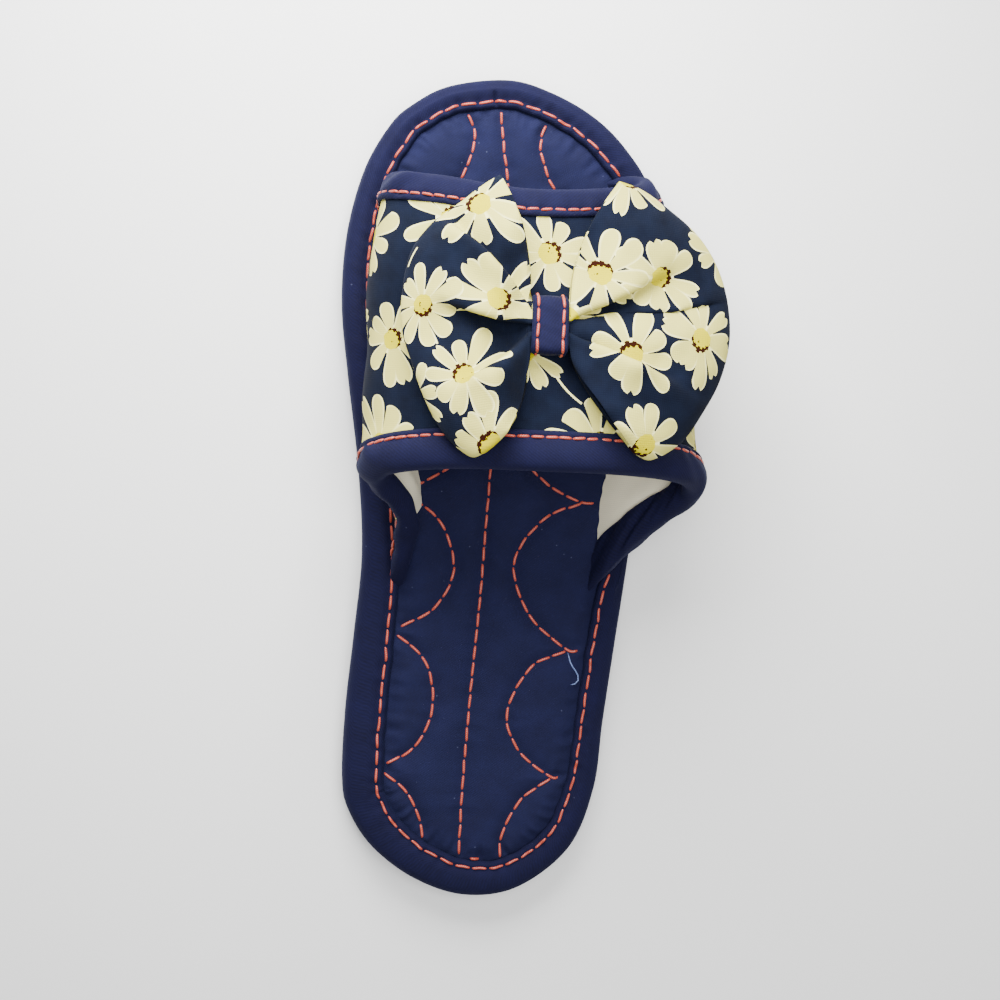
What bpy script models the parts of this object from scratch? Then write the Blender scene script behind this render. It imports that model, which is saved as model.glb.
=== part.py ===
"""Open-toe fabric slide slipper for the right foot: bound, quilted sole, printed vamp band and bow.

All sizes are in millimetres. x points to the little-toe side, y to the toe and z up. The origin is
on the floor under the waist, midway along the sole and on the line from heel to ball.
"""
import math

import bmesh
import bpy
from mathutils import Vector

MM = 0.001

# Sole outline. Both ends are arcs, and the sides pass through the rows between them.
TOE_CENTRE, TOE_RADIUS = (-2.0, 75.5), 50.0
HEEL_CENTRE, HEEL_RADIUS = (0.3, -85.7), 38.3
SOLE_SIDES = (
    # y, arch side x, outer side x
    (96.0, -43.8, 44.2),
    (77.0, -47.6, 48.4),
    (56.0, -48.0, 49.2),
    (34.0, -44.9, 48.2),
    (6.0, -40.1, 46.4),
    (-20.0, -37.5, 44.5),
    (-44.0, -38.5, 42.3),
    (-68.0, -39.8, 40.2),
)
SIDE_POINTS = 34
TOE_SPRING, SPRING_START, SPRING_END = 4.0, 76.0, 125.5

# Layers of the sole, as how far in from the outline and how far up from the floor.
OUTSOLE_RIM = (
    # inset, height
    (10.6, 0.0),
    (10.4, 1.85),
    (2.6, 1.85),
    (1.7, 2.5),
    (1.7, 3.0),
)
INSOLE_RIM = (
    # inset, height
    (1.9, 3.3),
    (1.5, 6.2),
    (1.9, 8.9),
    (3.2, 9.4),
    (14.0, 9.5),
    (18.0, 11.0),
    (25.0, 11.7),
)
TAPE_OUTSIDE = (
    # inset, height, from the top lip round the edge to the lip underneath
    (10.0, 10.9),
    (6.0, 11.1),
    (2.2, 10.8),
    (0.5, 9.3),
    (0.0, 6.0),
    (0.5, 2.4),
    (2.2, 0.7),
    (10.0, 0.5),
)
TAPE_INSIDE = (
    # inset, height, beside the rows above
    (10.0, 9.85),
    (6.0, 9.85),
    (2.9, 9.75),
    (1.6, 9.15),
    (1.15, 6.0),
    (1.2, 2.2),
    (2.2, 1.5),
    (10.0, 1.5),
)

# Vamp band. Each section stands on the insole inside the tape, widens, and closes over the instep.
WALL = 2.0
FOOT_INSET, FOOT_HEIGHT = 12.2, 10.6
FOOT_ANGLE = math.radians(62)
SECTIONS = (
    # y, crown x, crown z, height of the widest place, its overhang past the foot on the arch side, on the outer side
    (-34.0, 8.0, 65.5, 30.0, -4.5, 9.0),
    (-14.0, 9.0, 64.5, 32.0, -3.5, 15.0),
    (-3.0, 9.0, 63.8, 34.0, 1.5, 19.5),
    (8.0, 9.0, 63.0, 36.0, 9.5, 23.0),
    (20.0, 8.5, 61.0, 34.0, 8.5, 21.5),
    (44.0, 7.5, 56.0, 30.0, 5.0, 18.5),
    (66.0, 6.0, 49.5, 27.0, 3.5, 15.0),
    (86.0, 4.5, 42.5, 24.0, 3.0, 11.0),
    (98.0, 3.5, 38.5, 22.0, 2.5, 9.0),
)
FRONT_EDGE = (
    # place across the band from -1 at the arch side foot to 1 at the outer foot, y
    (-1.0, 86.0),
    (-0.8, 90.0),
    (-0.5, 88.5),
    (0.0, 85.5),
    (0.5, 89.5),
    (0.8, 94.5),
    (1.0, 94.0),
)
BACK_EDGE = (
    # place across, y
    (-1.0, -30.0),
    (-0.9, -21.0),
    (-0.8, -9.0),
    (-0.7, 1.0),
    (-0.55, 7.0),
    (-0.3, 10.5),
    (0.0, 11.5),
    (0.3, 11.5),
    (0.5, 9.5),
    (0.62, 5.0),
    (0.73, -3.0),
    (0.86, -15.0),
    (1.0, -28.5),
)
ACROSS, ALONG = 34, 7
TAPE_FOOT_CLEARANCE = 0.05
PLACES = [(2 * step / ACROSS - 1) * (1 - TAPE_FOOT_CLEARANCE) for step in range(ACROSS + 1)]

# Edge tapes of the band: how far in from the edge, and how far off the middle of the wall.
TOE_TAPE_OUTSIDE = (
    # inward, off the wall
    (7.0, 2.1),
    (4.5, 2.5),
    (0.0, 2.4),
    (-1.6, 1.3),
    (-1.6, -1.3),
    (0.0, -2.4),
    (4.5, -2.5),
    (7.0, -2.1),
)
TOE_TAPE_INSIDE = (
    # inward, off the wall, beside the rows above
    (7.0, 1.3),
    (4.5, 1.3),
    (0.5, 1.3),
    (-0.4, 1.0),
    (-0.4, -1.0),
    (0.5, -1.3),
    (4.5, -1.3),
    (7.0, -1.3),
)
COLLAR_TAPE_OUTSIDE = (
    # inward, off the wall
    (9.0, 2.4),
    (5.0, 3.2),
    (0.5, 3.0),
    (-2.0, 1.5),
    (-2.0, -1.5),
    (0.5, -3.0),
    (5.0, -3.2),
    (9.0, -2.4),
)
COLLAR_TAPE_INSIDE = (
    # inward, off the wall, beside the rows above
    (9.0, 1.5),
    (5.0, 1.7),
    (0.5, 1.6),
    (-0.6, 1.1),
    (-0.6, -1.1),
    (0.5, -1.6),
    (5.0, -1.7),
    (9.0, -1.5),
)

# Bow. One wide ribbon makes both loops and is pinched in the middle by a strap.
KNOT = (9.3, 49.5)
RIBBON = 1.2
PINCH_HALF_WIDTH, PINCH_HALF_LENGTH = 5.8, 5.6
PINCH_LIFT, PINCH_OPENING = 4.3, 3.0
LOOP_LIFT, FOLD_LIFT, LOOP_OPENING = 8.3, 6.5, 10.0
VALLEY_DEPTH, VALLEY_WIDTH = 4.5, 0.24
RIPPLE = 1.1
OUTER_LOOP = (
    # place across the ribbon, how far the fold reaches out, how far to the toe
    (-1.0, 27.5, -34.5),
    (-0.65, 41.5, -23.5),
    (-0.3, 49.5, -10.5),
    (0.0, 52.5, 5.5),
    (0.3, 49.0, 18.5),
    (0.65, 34.5, 33.5),
    (1.0, 17.5, 39.5),
)
ARCH_LOOP = (
    # place across the ribbon, how far the fold reaches out, how far to the toe
    (-1.0, 18.5, -37.5),
    (-0.65, 32.0, -25.5),
    (-0.3, 39.0, -11.5),
    (0.0, 40.5, 1.5),
    (0.3, 40.5, 12.5),
    (0.65, 34.5, 27.5),
    (1.0, 14.0, 39.5),
)
DROOP = {1: 0.0046, -1: 0.0060}
LOOP_STEPS, RIBBON_STEPS = 10, 12
STRAP_HALF_WIDTH, STRAP = 4.7, 1.1
STRAP_RING = (
    # to the toe, lift, of the strap's inner face
    (0.0, 7.3),
    (3.8, 7.2),
    (6.2, 6.8),
    (7.0, 5.4),
    (7.0, 3.2),
    (6.2, 1.9),
    (3.6, 1.7),
    (0.0, 1.7),
)


def smooth(rows, key, column):
    """One column of a table between its rows, as a curve with no corners."""
    key = min(max(key, rows[0][0]), rows[-1][0])
    last = len(rows) - 1
    i = 0
    while i < last - 1 and rows[i + 1][0] < key:
        i += 1

    def slope(j):
        low, high = rows[max(j - 1, 0)], rows[min(j + 1, last)]
        return (high[column] - low[column]) / (high[0] - low[0])

    span = rows[i + 1][0] - rows[i][0]
    t = (key - rows[i][0]) / span
    start, end = rows[i][column], rows[i + 1][column]
    return (
        start * (2 * t**3 - 3 * t**2 + 1)
        + end * (3 * t**2 - 2 * t**3)
        + slope(i) * span * (t**3 - 2 * t**2 + t)
        + slope(i + 1) * span * (t**3 - t**2)
    )


def along(points, shares):
    """Points at these shares of a polyline's length."""
    lengths = [0.0]
    for a, b in zip(points, points[1:]):
        lengths.append(lengths[-1] + (b - a).length)
    found, i = [], 0
    for share in shares:
        wanted = share * lengths[-1]
        while i < len(points) - 2 and lengths[i + 1] < wanted:
            i += 1
        part = (wanted - lengths[i]) / (lengths[i + 1] - lengths[i])
        found.append(points[i].lerp(points[i + 1], part))
    return found


def rounded(points):
    """A closed curve through these points, finely stepped."""
    count, fine = len(points), []
    for i in range(count):
        a, b, c, d = (points[(i + k) % count] for k in (-1, 0, 1, 2))
        for step in range(12):
            t = step / 12
            fine.append(
                0.5 * (2 * b + (c - a) * t + (2 * a - 5 * b + 4 * c - d) * t**2 + (3 * b - 3 * c + d - a) * t**3)
            )
    return fine


def sole_outline():
    """The sole's edge from above, from the toe down the outer side and back up the arch side."""

    def arc(centre, radius, degrees):
        turn = math.radians(degrees)
        return Vector((centre[0] + radius * math.cos(turn), centre[1] + radius * math.sin(turn), 0))

    toe_outer = [arc(TOE_CENTRE, TOE_RADIUS, a) for a in (90, 74, 57, 41)]
    toe_arch = [arc(TOE_CENTRE, TOE_RADIUS, a) for a in (130, 117, 104)]
    heel = [arc(HEEL_CENTRE, HEEL_RADIUS, -a) for a in (5, 35, 65, 90, 115, 145, 175)]
    outer = [Vector((row[2], row[0], 0)) for row in SOLE_SIDES]
    arch = [Vector((row[1], row[0], 0)) for row in reversed(SOLE_SIDES)]
    curve = rounded(toe_outer + outer + heel + arch + toe_arch)
    back = min(range(len(curve)), key=lambda i: curve[i].y)
    shares = [(i + 0.5) / SIDE_POINTS for i in range(SIDE_POINTS)]
    down = along(curve[: back + 1], shares)
    up = along(curve[back:] + curve[:1], shares)
    return down + up


OUTLINE = sole_outline()


def spring(y):
    """How far the sole has risen from the floor towards the toe."""
    return TOE_SPRING * (max(y - SPRING_START, 0) / (SPRING_END - SPRING_START)) ** 2


def sole_ring(inset, height):
    """The sole's outline moved in, at a height that follows the toe spring."""
    ring = []
    for i, point in enumerate(OUTLINE):
        run = (OUTLINE[(i + 1) % len(OUTLINE)] - OUTLINE[i - 1]).normalized()
        moved = point + Vector((run.y, -run.x, 0)) * inset
        ring.append(Vector((moved.x, moved.y, height + spring(moved.y))))
    return ring


FOOT_RING = sole_ring(FOOT_INSET, 0)
OUTER_FEET = tuple((p.y, p.x) for p in reversed(FOOT_RING[:SIDE_POINTS]))
ARCH_FEET = tuple((p.y, p.x) for p in FOOT_RING[SIDE_POINTS:])


def half_section(y, feet, overhang_column, side):
    """One side of the band's section at y, from the crown down to its foot, as x and z."""
    crown_x, crown_z, wide_z = (smooth(SECTIONS, y, c) for c in (1, 2, 3))
    foot = Vector((smooth(feet, y, 1), FOOT_HEIGHT + spring(y)))
    wide_x = foot.x + side * smooth(SECTIONS, y, overhang_column)
    reach, rise = wide_x - crown_x, crown_z - wide_z
    points = []
    for step in range(16):
        turn = math.pi / 2 * step / 16
        points.append(Vector((crown_x + reach * math.sin(turn), wide_z + rise * math.cos(turn))))
    wide = Vector((wide_x, wide_z))
    pull = 0.4 * (wide_z - foot.y)
    above = wide - Vector((0, pull))
    below = foot + pull * Vector((side * math.cos(FOOT_ANGLE), math.sin(FOOT_ANGLE)))
    for step in range(13):
        t = step / 12
        points.append(
            wide * (1 - t) ** 3 + 3 * above * t * (1 - t) ** 2 + 3 * below * t**2 * (1 - t) + foot * t**3
        )
    return points


def band_point(across, share):
    """Middle of the vamp band's wall, share running from its front edge to its back edge."""
    front, back = smooth(FRONT_EDGE, across, 1), smooth(BACK_EDGE, across, 1)
    y = front + (back - front) * share
    if across < 0:
        points = half_section(y, ARCH_FEET, 4, -1)
    else:
        points = half_section(y, OUTER_FEET, 5, 1)
    place = along(points, [abs(across)])[0]
    return Vector((place.x, y, place.y))


def band_frame(across, share):
    """A point of the band with its outward normal and the run to the back."""
    small = 0.004
    a = min(max(across, small - 1), 1 - small)
    point = band_point(across, share)
    over = band_point(a + small, share) - band_point(a - small, share)
    back = band_point(across, share + small) - band_point(across, share - small)
    return point, back.cross(over).normalized() * -1, back / (2 * small)


def taped_point(across, edge, inward, off):
    """A point beside the band's front edge (0) or back edge (1), this far in and off the wall."""
    run = band_frame(across, 0.5)[2].length
    toward = 1 if edge == 0 else -1
    if inward >= 0:
        point, normal, _ = band_frame(across, edge + toward * inward / run)
        return point + normal * off
    point, normal, back = band_frame(across, edge)
    return point + normal * off + back.normalized() * toward * inward


def band_shares(across):
    """Places from the band's front edge to its back edge, with lines under the rims of both tapes."""
    run = band_frame(across, 0.5)[2].length
    front = [inward / run for inward in (0.0, 0.5, 4.5, 7.0)]
    back = [1 - inward / run for inward in (9.0, 5.0, 0.5, 0.0)]
    middle = [front[-1] + (back[0] - front[-1]) * j / ALONG for j in range(1, ALONG)]
    return front + middle + back


def mesh_object(name, points, faces, colour, roughness):
    """A named piece from points in millimetres, with its own material."""
    mesh = bpy.data.meshes.new(name)
    mesh.from_pydata([p * MM for p in points], [], faces)
    work = bmesh.new()
    work.from_mesh(mesh)
    bmesh.ops.recalc_face_normals(work, faces=work.faces)
    if work.calc_volume(signed=True) < 0:
        bmesh.ops.reverse_faces(work, faces=work.faces)
    work.to_mesh(mesh)
    work.free()
    mesh.shade_smooth()
    piece = bpy.data.objects.new(name, mesh)
    PARTS.objects.link(piece)
    material = bpy.data.materials.new(name)
    material.use_nodes = True
    shader = material.node_tree.nodes["Principled BSDF"]
    shader.inputs["Base Color"].default_value = (*colour, 1)
    shader.inputs["Roughness"].default_value = roughness
    mesh.materials.append(material)
    return piece


def loft(name, rings, colour, roughness, joined=False):
    """A solid over closed rings of equal count, joined end to end or with a ladder of faces across each end."""
    count = len(rings[0])
    faces = []
    for r in range(len(rings) if joined else len(rings) - 1):
        a, b = r * count, (r + 1) % len(rings) * count
        for k in range(count):
            n = (k + 1) % count
            faces.append((a + k, a + n, b + n, b + k))
    if not joined:
        for start in (0, (len(rings) - 1) * count):
            for k in range(count // 2 - 1):
                faces.append((start + k, start + k + 1, start + count - 2 - k, start + count - 1 - k))
    return mesh_object(name, [p for ring in rings for p in ring], faces, colour, roughness)


def tape_section(outside, inside):
    """The closed section of a folded tape, out along one face and back along the other."""
    return tuple(outside) + tuple(reversed(inside))


def sole_tape():
    """The tape round the sole's edge."""
    sides = [sole_ring(*row) for row in tape_section(TAPE_OUTSIDE, TAPE_INSIDE)]
    rings = [list(section) for section in zip(*sides)]
    return loft("sole_binding", rings, (0.022, 0.027, 0.105), 0.75, joined=True)


def band_tape(name, edge, outside, inside):
    """A tape folded over one edge of the band, from foot to foot."""
    section = tape_section(outside, inside)
    rings = [[taped_point(across, edge, *row) for row in section] for across in PLACES]
    return loft(name, rings, (0.022, 0.027, 0.105), 0.75)


def vamp_band():
    """The band as an open sheet, given its wall thickness."""
    places = [-1.0] + PLACES + [1.0]
    points = [band_point(across, share) for across in places for share in band_shares(across)]
    faces = []
    row = len(points) // len(places)
    for i in range(len(places) - 1):
        for j in range(row - 1):
            a = i * row + j
            faces.append((a, a + 1, a + row + 1, a + row))
    band = mesh_object("upper", points, faces, (0.02, 0.032, 0.07), 0.8)
    add_thickness(band, WALL)
    return band


def add_thickness(piece, thickness):
    wall = piece.modifiers.new("wall", "SOLIDIFY")
    wall.thickness = thickness * MM
    wall.offset = 0
    return wall


def seat(x, y):
    """Height of the surface that the bow lies on, drooping to both sides."""
    crown_x, crown_z = smooth(SECTIONS, y, 1), smooth(SECTIONS, y, 2)
    side = 1 if x > crown_x else -1
    return crown_z + WALL / 2 - DROOP[side] * (x - crown_x) ** 2


def ribbon_point(side, top, fan, across):
    """Middle of the bow's ribbon: fan runs from -1 under the strap to 0 beside it and 1 at the fold."""
    rows = OUTER_LOOP if side > 0 else ARCH_LOOP
    reach, forward = smooth(rows, across, 1), smooth(rows, across, 2)
    pinched = PINCH_HALF_WIDTH * across
    spread = max(fan, 0)
    x = KNOT[0] + side * (PINCH_HALF_LENGTH * min(1 + fan, 1) + (reach - PINCH_HALF_LENGTH) * spread)
    y = KNOT[1] + pinched + (forward - pinched) * spread
    opened = min(2 * spread, 1)
    opened = opened**2 * (3 - 2 * opened)
    lift = PINCH_LIFT + (LOOP_LIFT - PINCH_LIFT) * opened + (FOLD_LIFT - LOOP_LIFT) * spread**3
    opening = PINCH_OPENING + (LOOP_OPENING * (1 - 0.35 * across**4) - PINCH_OPENING) * opened
    opening *= math.sqrt(max(1 - spread**5, 0))
    if top:
        pull = max(math.sin(math.pi * spread), 0) ** 0.7
        dip = VALLEY_DEPTH * math.exp(-((across / VALLEY_WIDTH) ** 2))
        ripple = RIPPLE * math.cos(5 * math.pi * across) * (1 - spread)
        lift += opening / 2 + pull * (ripple - dip)
    else:
        lift -= opening / 2
    return Vector((x, y, seat(x, y) + lift))


def ribbon_bow():
    """The ribbon as one closed strip: out over a loop and back beneath it, then the other loop."""
    steps = [-1] + [math.sin(math.pi / 2 * j / LOOP_STEPS) for j in range(LOOP_STEPS + 1)]
    path = [(1, True, s) for s in steps]
    path += [(1, False, s) for s in reversed(steps[:-1])]
    path += [(-1, False, s) for s in steps[1:]]
    path += [(-1, True, s) for s in reversed(steps[1:-1])]
    row = RIBBON_STEPS + 1
    points = [ribbon_point(*place, 2 * k / RIBBON_STEPS - 1) for place in path for k in range(row)]
    faces = []
    for i in range(len(path)):
        a, b = i * row, (i + 1) % len(path) * row
        for k in range(RIBBON_STEPS):
            faces.append((a + k, a + k + 1, b + k + 1, b + k))
    bow = mesh_object("bow", points, faces, (0.02, 0.032, 0.07), 0.8)
    add_thickness(bow, RIBBON)
    return bow


def knot_strap():
    """The strap round the pinched middle of the bow."""
    ring = list(STRAP_RING) + [(-y, lift) for y, lift in reversed(STRAP_RING[1:-1])]
    middle = sum(lift for _, lift in ring) / len(ring)
    rings = []
    for i, (y, lift) in enumerate(ring):
        ahead, behind = ring[(i + 1) % len(ring)], ring[i - 1]
        run = Vector((ahead[0] - behind[0], ahead[1] - behind[1])).normalized()
        out = Vector((-run.y, run.x))
        if out.dot(Vector((y, lift - middle))) < 0:
            out.negate()
        section = []
        for x, thick in ((-1, 0), (1, 0), (1, 0.75), (0.75, 1), (-0.75, 1), (-1, 0.75)):
            place_y = KNOT[1] + y + out.x * STRAP * thick
            place_x = KNOT[0] + x * STRAP_HALF_WIDTH
            up = lift + out.y * STRAP * thick
            section.append(Vector((place_x, place_y, seat(KNOT[0], place_y) + up)))
        rings.append(section)
    return loft("bow_knot", rings, (0.022, 0.027, 0.105), 0.75, joined=True)


for old in list(bpy.data.objects):
    bpy.data.objects.remove(old)
PARTS = bpy.data.collections.new("fabric_slipper")
bpy.context.scene.collection.children.link(PARTS)

loft("outsole", [sole_ring(*row) for row in OUTSOLE_RIM], (0.03, 0.032, 0.04), 0.85)
loft("insole", [sole_ring(*row) for row in INSOLE_RIM], (0.035, 0.04, 0.12), 0.8)
sole_tape()
vamp_band()
band_tape("toe_binding", 0, TOE_TAPE_OUTSIDE, TOE_TAPE_INSIDE)
band_tape("collar_binding", 1, COLLAR_TAPE_OUTSIDE, COLLAR_TAPE_INSIDE)
ribbon_bow()
knot_strap()
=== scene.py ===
"""Looks of an open-toe fabric slipper for the right foot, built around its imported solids.

Lengths are in millimetres until a mesh is made. x points to the little-toe side, y to the toe and z
up. The tables of the main form repeat the solids' own, and the finer forms are worked out from them.
"""
import math

import bpy
import numpy as np
from mathutils import Matrix, Vector, kdtree


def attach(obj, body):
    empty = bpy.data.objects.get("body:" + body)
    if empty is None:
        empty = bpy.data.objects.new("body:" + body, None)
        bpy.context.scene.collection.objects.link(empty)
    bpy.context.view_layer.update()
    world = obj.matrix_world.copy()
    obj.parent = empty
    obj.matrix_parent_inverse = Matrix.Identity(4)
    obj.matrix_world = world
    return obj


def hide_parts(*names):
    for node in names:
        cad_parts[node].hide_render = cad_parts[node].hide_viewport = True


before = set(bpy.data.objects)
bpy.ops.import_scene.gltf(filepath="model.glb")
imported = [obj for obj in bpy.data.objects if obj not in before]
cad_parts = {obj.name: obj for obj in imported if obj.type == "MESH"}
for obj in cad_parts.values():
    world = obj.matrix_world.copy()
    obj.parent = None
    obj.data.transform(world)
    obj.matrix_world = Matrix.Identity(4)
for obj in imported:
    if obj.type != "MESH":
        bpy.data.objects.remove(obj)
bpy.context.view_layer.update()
MM = 0.001
TURN = 2 * math.pi
TINY = 1e-9

# Sole outline, through the places below in turn. The heel is nearly an arc.
TOE_OUTER = ((-2.0, 125.5), (11.5, 122.9), (25.0, 116.8), (35.6, 108.1))
TOE_ARCH = ((-36.8, 109.4), (-30.5, 116.0), (-19.5, 122.4))
HEEL_CENTRE = (0.3, -85.7)
HEEL_ANGLES = (5, 35, 65, 90, 115, 140, 160, 175)
HEEL_RADII = (38.5, 38.7, 38.9, 38.3, 37.3, 38.2, 39.6, 40.0)
SOLE_SIDES = (
    # y, arch side x, outer side x
    (96.0, -43.5, 44.2),
    (77.0, -47.6, 48.4),
    (56.0, -48.0, 49.2),
    (34.0, -44.9, 48.2),
    (6.0, -40.1, 46.4),
    (-20.0, -37.5, 44.5),
    (-44.0, -38.5, 42.3),
    (-68.0, -39.8, 40.2),
)
TOE_SPRING, SPRING_START, SPRING_END = 4.0, 76.0, 125.5
OUTSOLE_RIM = (
    # inset, height
    (10.6, 0.0),
    (10.4, 1.85),
    (2.6, 1.85),
    (1.7, 2.5),
    (1.7, 3.0),
)

# Edge tape of the sole. Its lip reaches further in at the heel than at the toe.
TAPE_STATIONS = 1120
TAPE_LIP = (
    # share of the way round, from the toe down the outer side and up the arch side; how far in the lip is
    (0.0, 8.6), (0.1, 9.2), (0.2, 9.2), (0.26, 7.8), (0.285, 7.1), (0.312, 8.7), (0.38, 8.9), (0.44, 9.9),
    (0.5, 11.1), (0.58, 12.0), (0.66, 12.0), (0.74, 10.4), (0.84, 9.4), (0.93, 8.6), (1.0, 8.6),
)
LIP_WAVE, LIP_WAVES_ROUND = 0.11, (83, 59, 37)
TAPE_SEAM_FROM_LIP, TAPE_SEAM_HEIGHT = 1.6, 10.95
TAPE_DIP, TAPE_DIP_REACH = 0.16, 1.5
TAPE_PUCKER, TAPE_PUCKER_REACH, TAPE_PUCKER_SLANT, TAPE_PUCKERS_ROUND = 0.2, 3.2, 0.5, (151, 97, 73, 61, 41)
TAPE_SWELL, TAPE_SWELLS_ROUND = 0.18, (17, 11, 7)
TAPE_PUCKERED_ABOVE = 9.9
# The two ends of the tape meet in a slanting groove near the middle of the toe.
TAPE_JOIN, TAPE_JOIN_DEPTH, TAPE_JOIN_WIDTH, TAPE_JOIN_SLANT = 594.2, 1.4, 0.45, 0.1
TAPE_JOIN_STARTS, TAPE_JOIN_ENDS = (3.5, 5.0), (8.0, 9.0)
TAPE_TOP = (
    # how far out from the lip, height
    (0.0, 9.9),
    (0.0, 10.9),
    (0.7, 11.45),
    (2.0, 10.95),
    (3.4, 11.5),
    (5.0, 11.75),
)
TAPE_EDGE = (
    # inset, height
    (3.0, 11.35),
    (1.1, 10.2),
    (0.25, 8.2),
    (0.05, 6.0),
    (0.3, 3.4),
    (1.3, 1.3),
    (3.0, 0.55),
    (9.6, 0.45),
)
TAPE_BACK = (
    # inset, height
    (9.6, 1.5),
    (2.6, 1.5),
    (1.4, 2.6),
    (1.3, 6.0),
    (1.7, 8.9),
    (3.2, 9.55),
)

# Footbed: the height of its top by the distance in from the outline, and its quilting.
INSOLE_RIM, RIM_HEIGHT, RIM_END = 1.9, 8.6, 0.05
GROOVE_HEIGHT, PAD_RISE, PAD_RISE_WITHIN = 9.45, 2.5, 4.0
INSOLE_BOTTOM = 3.3
INSOLE_ROWS, INSOLE_COLUMNS, EVEN_ROWS = 430, 118, 0.8
RIM_WITHIN, PAD_WITHIN, PAD_FILL = 8.0, 5.0, 0.35
PAD_UNEVEN, PAD_UNEVEN_SIZE = 0.22, 24.0
QUILT_DEPTH, QUILT_WIDTH, QUILT_EDGE = 1.3, 2.3, 1.4
QUILT_PUFF, QUILT_PUFF_REACH, QUILT_STEP = 1.0, 8.0, 0.8
QUILT_PUCKER, QUILT_PUCKER_FROM, QUILT_PUCKER_REACH = 0.22, 0.8, 3.5
EDGE_PUCKER, EDGE_PUCKER_FROM, EDGE_PUCKER_TO, EDGE_PUCKERS = 0.35, (0.0, 1.5), (2.0, 8.0), (7.0, 11.0, 4.6)
QUILT_FROM_LIP = 0.5
QUILT_LINES = (
    # x, y of the places that each sewn line passes through, cusp to cusp
    ((-4.0, 118.0), (-2.0, 105.0), (0.2, 92.0), (1.2, 70.0), (0.9, 40.0)),
    ((-15.0, 116.0), (-11.5, 110.5), (-11.2, 104.5), (-15.0, 94.0), (-24.0, 86.0)),
    ((10.8, 114.5), (9.2, 109.0), (9.6, 103.5), (14.3, 93.7), (24.0, 85.0)),
    ((0.9, 40.0), (0.0, 8.0), (-0.7, -29.0), (-1.8, -58.0), (-2.6, -88.0), (-2.4, -113.5)),
    ((-3.5, 17.0), (-12.2, 8.2), (-24.5, 0.5)),
    ((-24.0, -1.5), (-14.1, -9.0), (-9.3, -23.0), (-14.5, -35.0), (-25.0, -41.8)),
    ((-25.5, -43.8), (-16.4, -51.5), (-13.2, -65.0), (-18.0, -78.0), (-28.5, -84.6)),
    ((-28.2, -85.6), (-19.8, -91.8), (-14.9, -101.0), (-14.0, -108.0), (-14.5, -113.0)),
    ((4.5, 17.0), (11.6, 9.8), (19.0, 3.8), (28.0, -0.2), (33.0, -0.4)),
    ((29.0, -0.6), (17.5, -6.0), (9.0, -19.8), (14.5, -35.5), (26.5, -45.6), (30.8, -46.0)),
    ((27.0, -46.2), (16.0, -52.0), (9.7, -66.5), (14.3, -78.0), (24.3, -85.4), (27.6, -85.2)),
    ((24.6, -85.8), (15.6, -93.0), (10.6, -103.5), (10.2, -111.5)),
    ((0.9, -111.9), (4.6, -112.0)),
)
# A loose thread that lies curled on the footbed.
FIBRE = ((27.2, -46.2), (28.4, -50.0), (30.6, -53.0), (31.2, -54.8), (30.2, -56.2), (28.2, -56.6))
FIBRE_RADIUS = 0.22

# Vamp band. Each section stands on the footbed inside the tape, widens, and closes over the instep.
WALL = 2.0
FOOT_INSET, FOOT_HEIGHT = 12.2, 10.6
FOOT_ANGLE, FOOT_PULL = math.radians(62), 0.4
SECTIONS = (
    # y, crown x, crown z, height of the widest place, its overhang past the foot: arch side, outer side
    (-34.0, 8.0, 65.5, 30.0, -5.5, 9.0),
    (-14.0, 9.0, 64.5, 32.0, -6.0, 15.0),
    (-3.0, 9.0, 63.8, 34.0, -0.5, 19.5),
    (8.0, 9.0, 63.0, 36.0, 9.5, 23.0),
    (20.0, 8.5, 61.0, 34.0, 8.5, 21.5),
    (44.0, 7.5, 56.0, 30.0, 5.0, 18.5),
    (66.0, 6.0, 49.5, 27.0, 3.5, 15.0),
    (86.0, 4.5, 42.5, 24.0, 3.0, 10.0),
    (98.0, 3.5, 38.5, 22.0, 2.5, 7.4),
)
FRONT_EDGE = (
    # place across the band from -1 at the arch side foot to 1 at the outer foot, y
    (-1.0, 86.0), (-0.8, 91.0), (-0.5, 90.2), (0.0, 87.1), (0.5, 91.2), (0.8, 96.6), (1.0, 96.2),
)
BACK_EDGE = (
    # place across, y
    (-1.0, -30.0), (-0.9, -21.0), (-0.8, -9.0), (-0.7, 1.0), (-0.55, 7.0), (-0.3, 10.5), (0.0, 11.5),
    (0.3, 11.5), (0.5, 9.5), (0.62, 5.0), (0.73, -3.0), (0.86, -15.0), (1.0, -28.5),
)
VAMP_COLUMNS, VAMP_ROWS, VAMP_MIDDLE = 190, 96, 60.0
# Away from its seams the cloth is uneven. The lining hangs slack beside the arch.
VAMP_UNEVEN, VAMP_UNEVEN_SIZE, LINING_CREASE, LINING_CREASE_SIZE = 0.45, 30.0, 0.5, 16.0
FREE_FROM_TOE, FREE_TO_COLLAR, FREE_TO_FOOT = (0.03, 0.2), (0.75, 0.95), (0.85, 0.98)
LINING_SLACK = 6.5
SLACK_FROM_TOE, SLACK_TO_COLLAR, SLACK_ACROSS = (0.3, 0.6), (0.78, 0.92), (0.6, 0.92)
TAPE_FOOT_CLEARANCE, TAPE_TAPER, TAPE_END_DEPTH = 0.004, 0.16, 3.0

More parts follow.
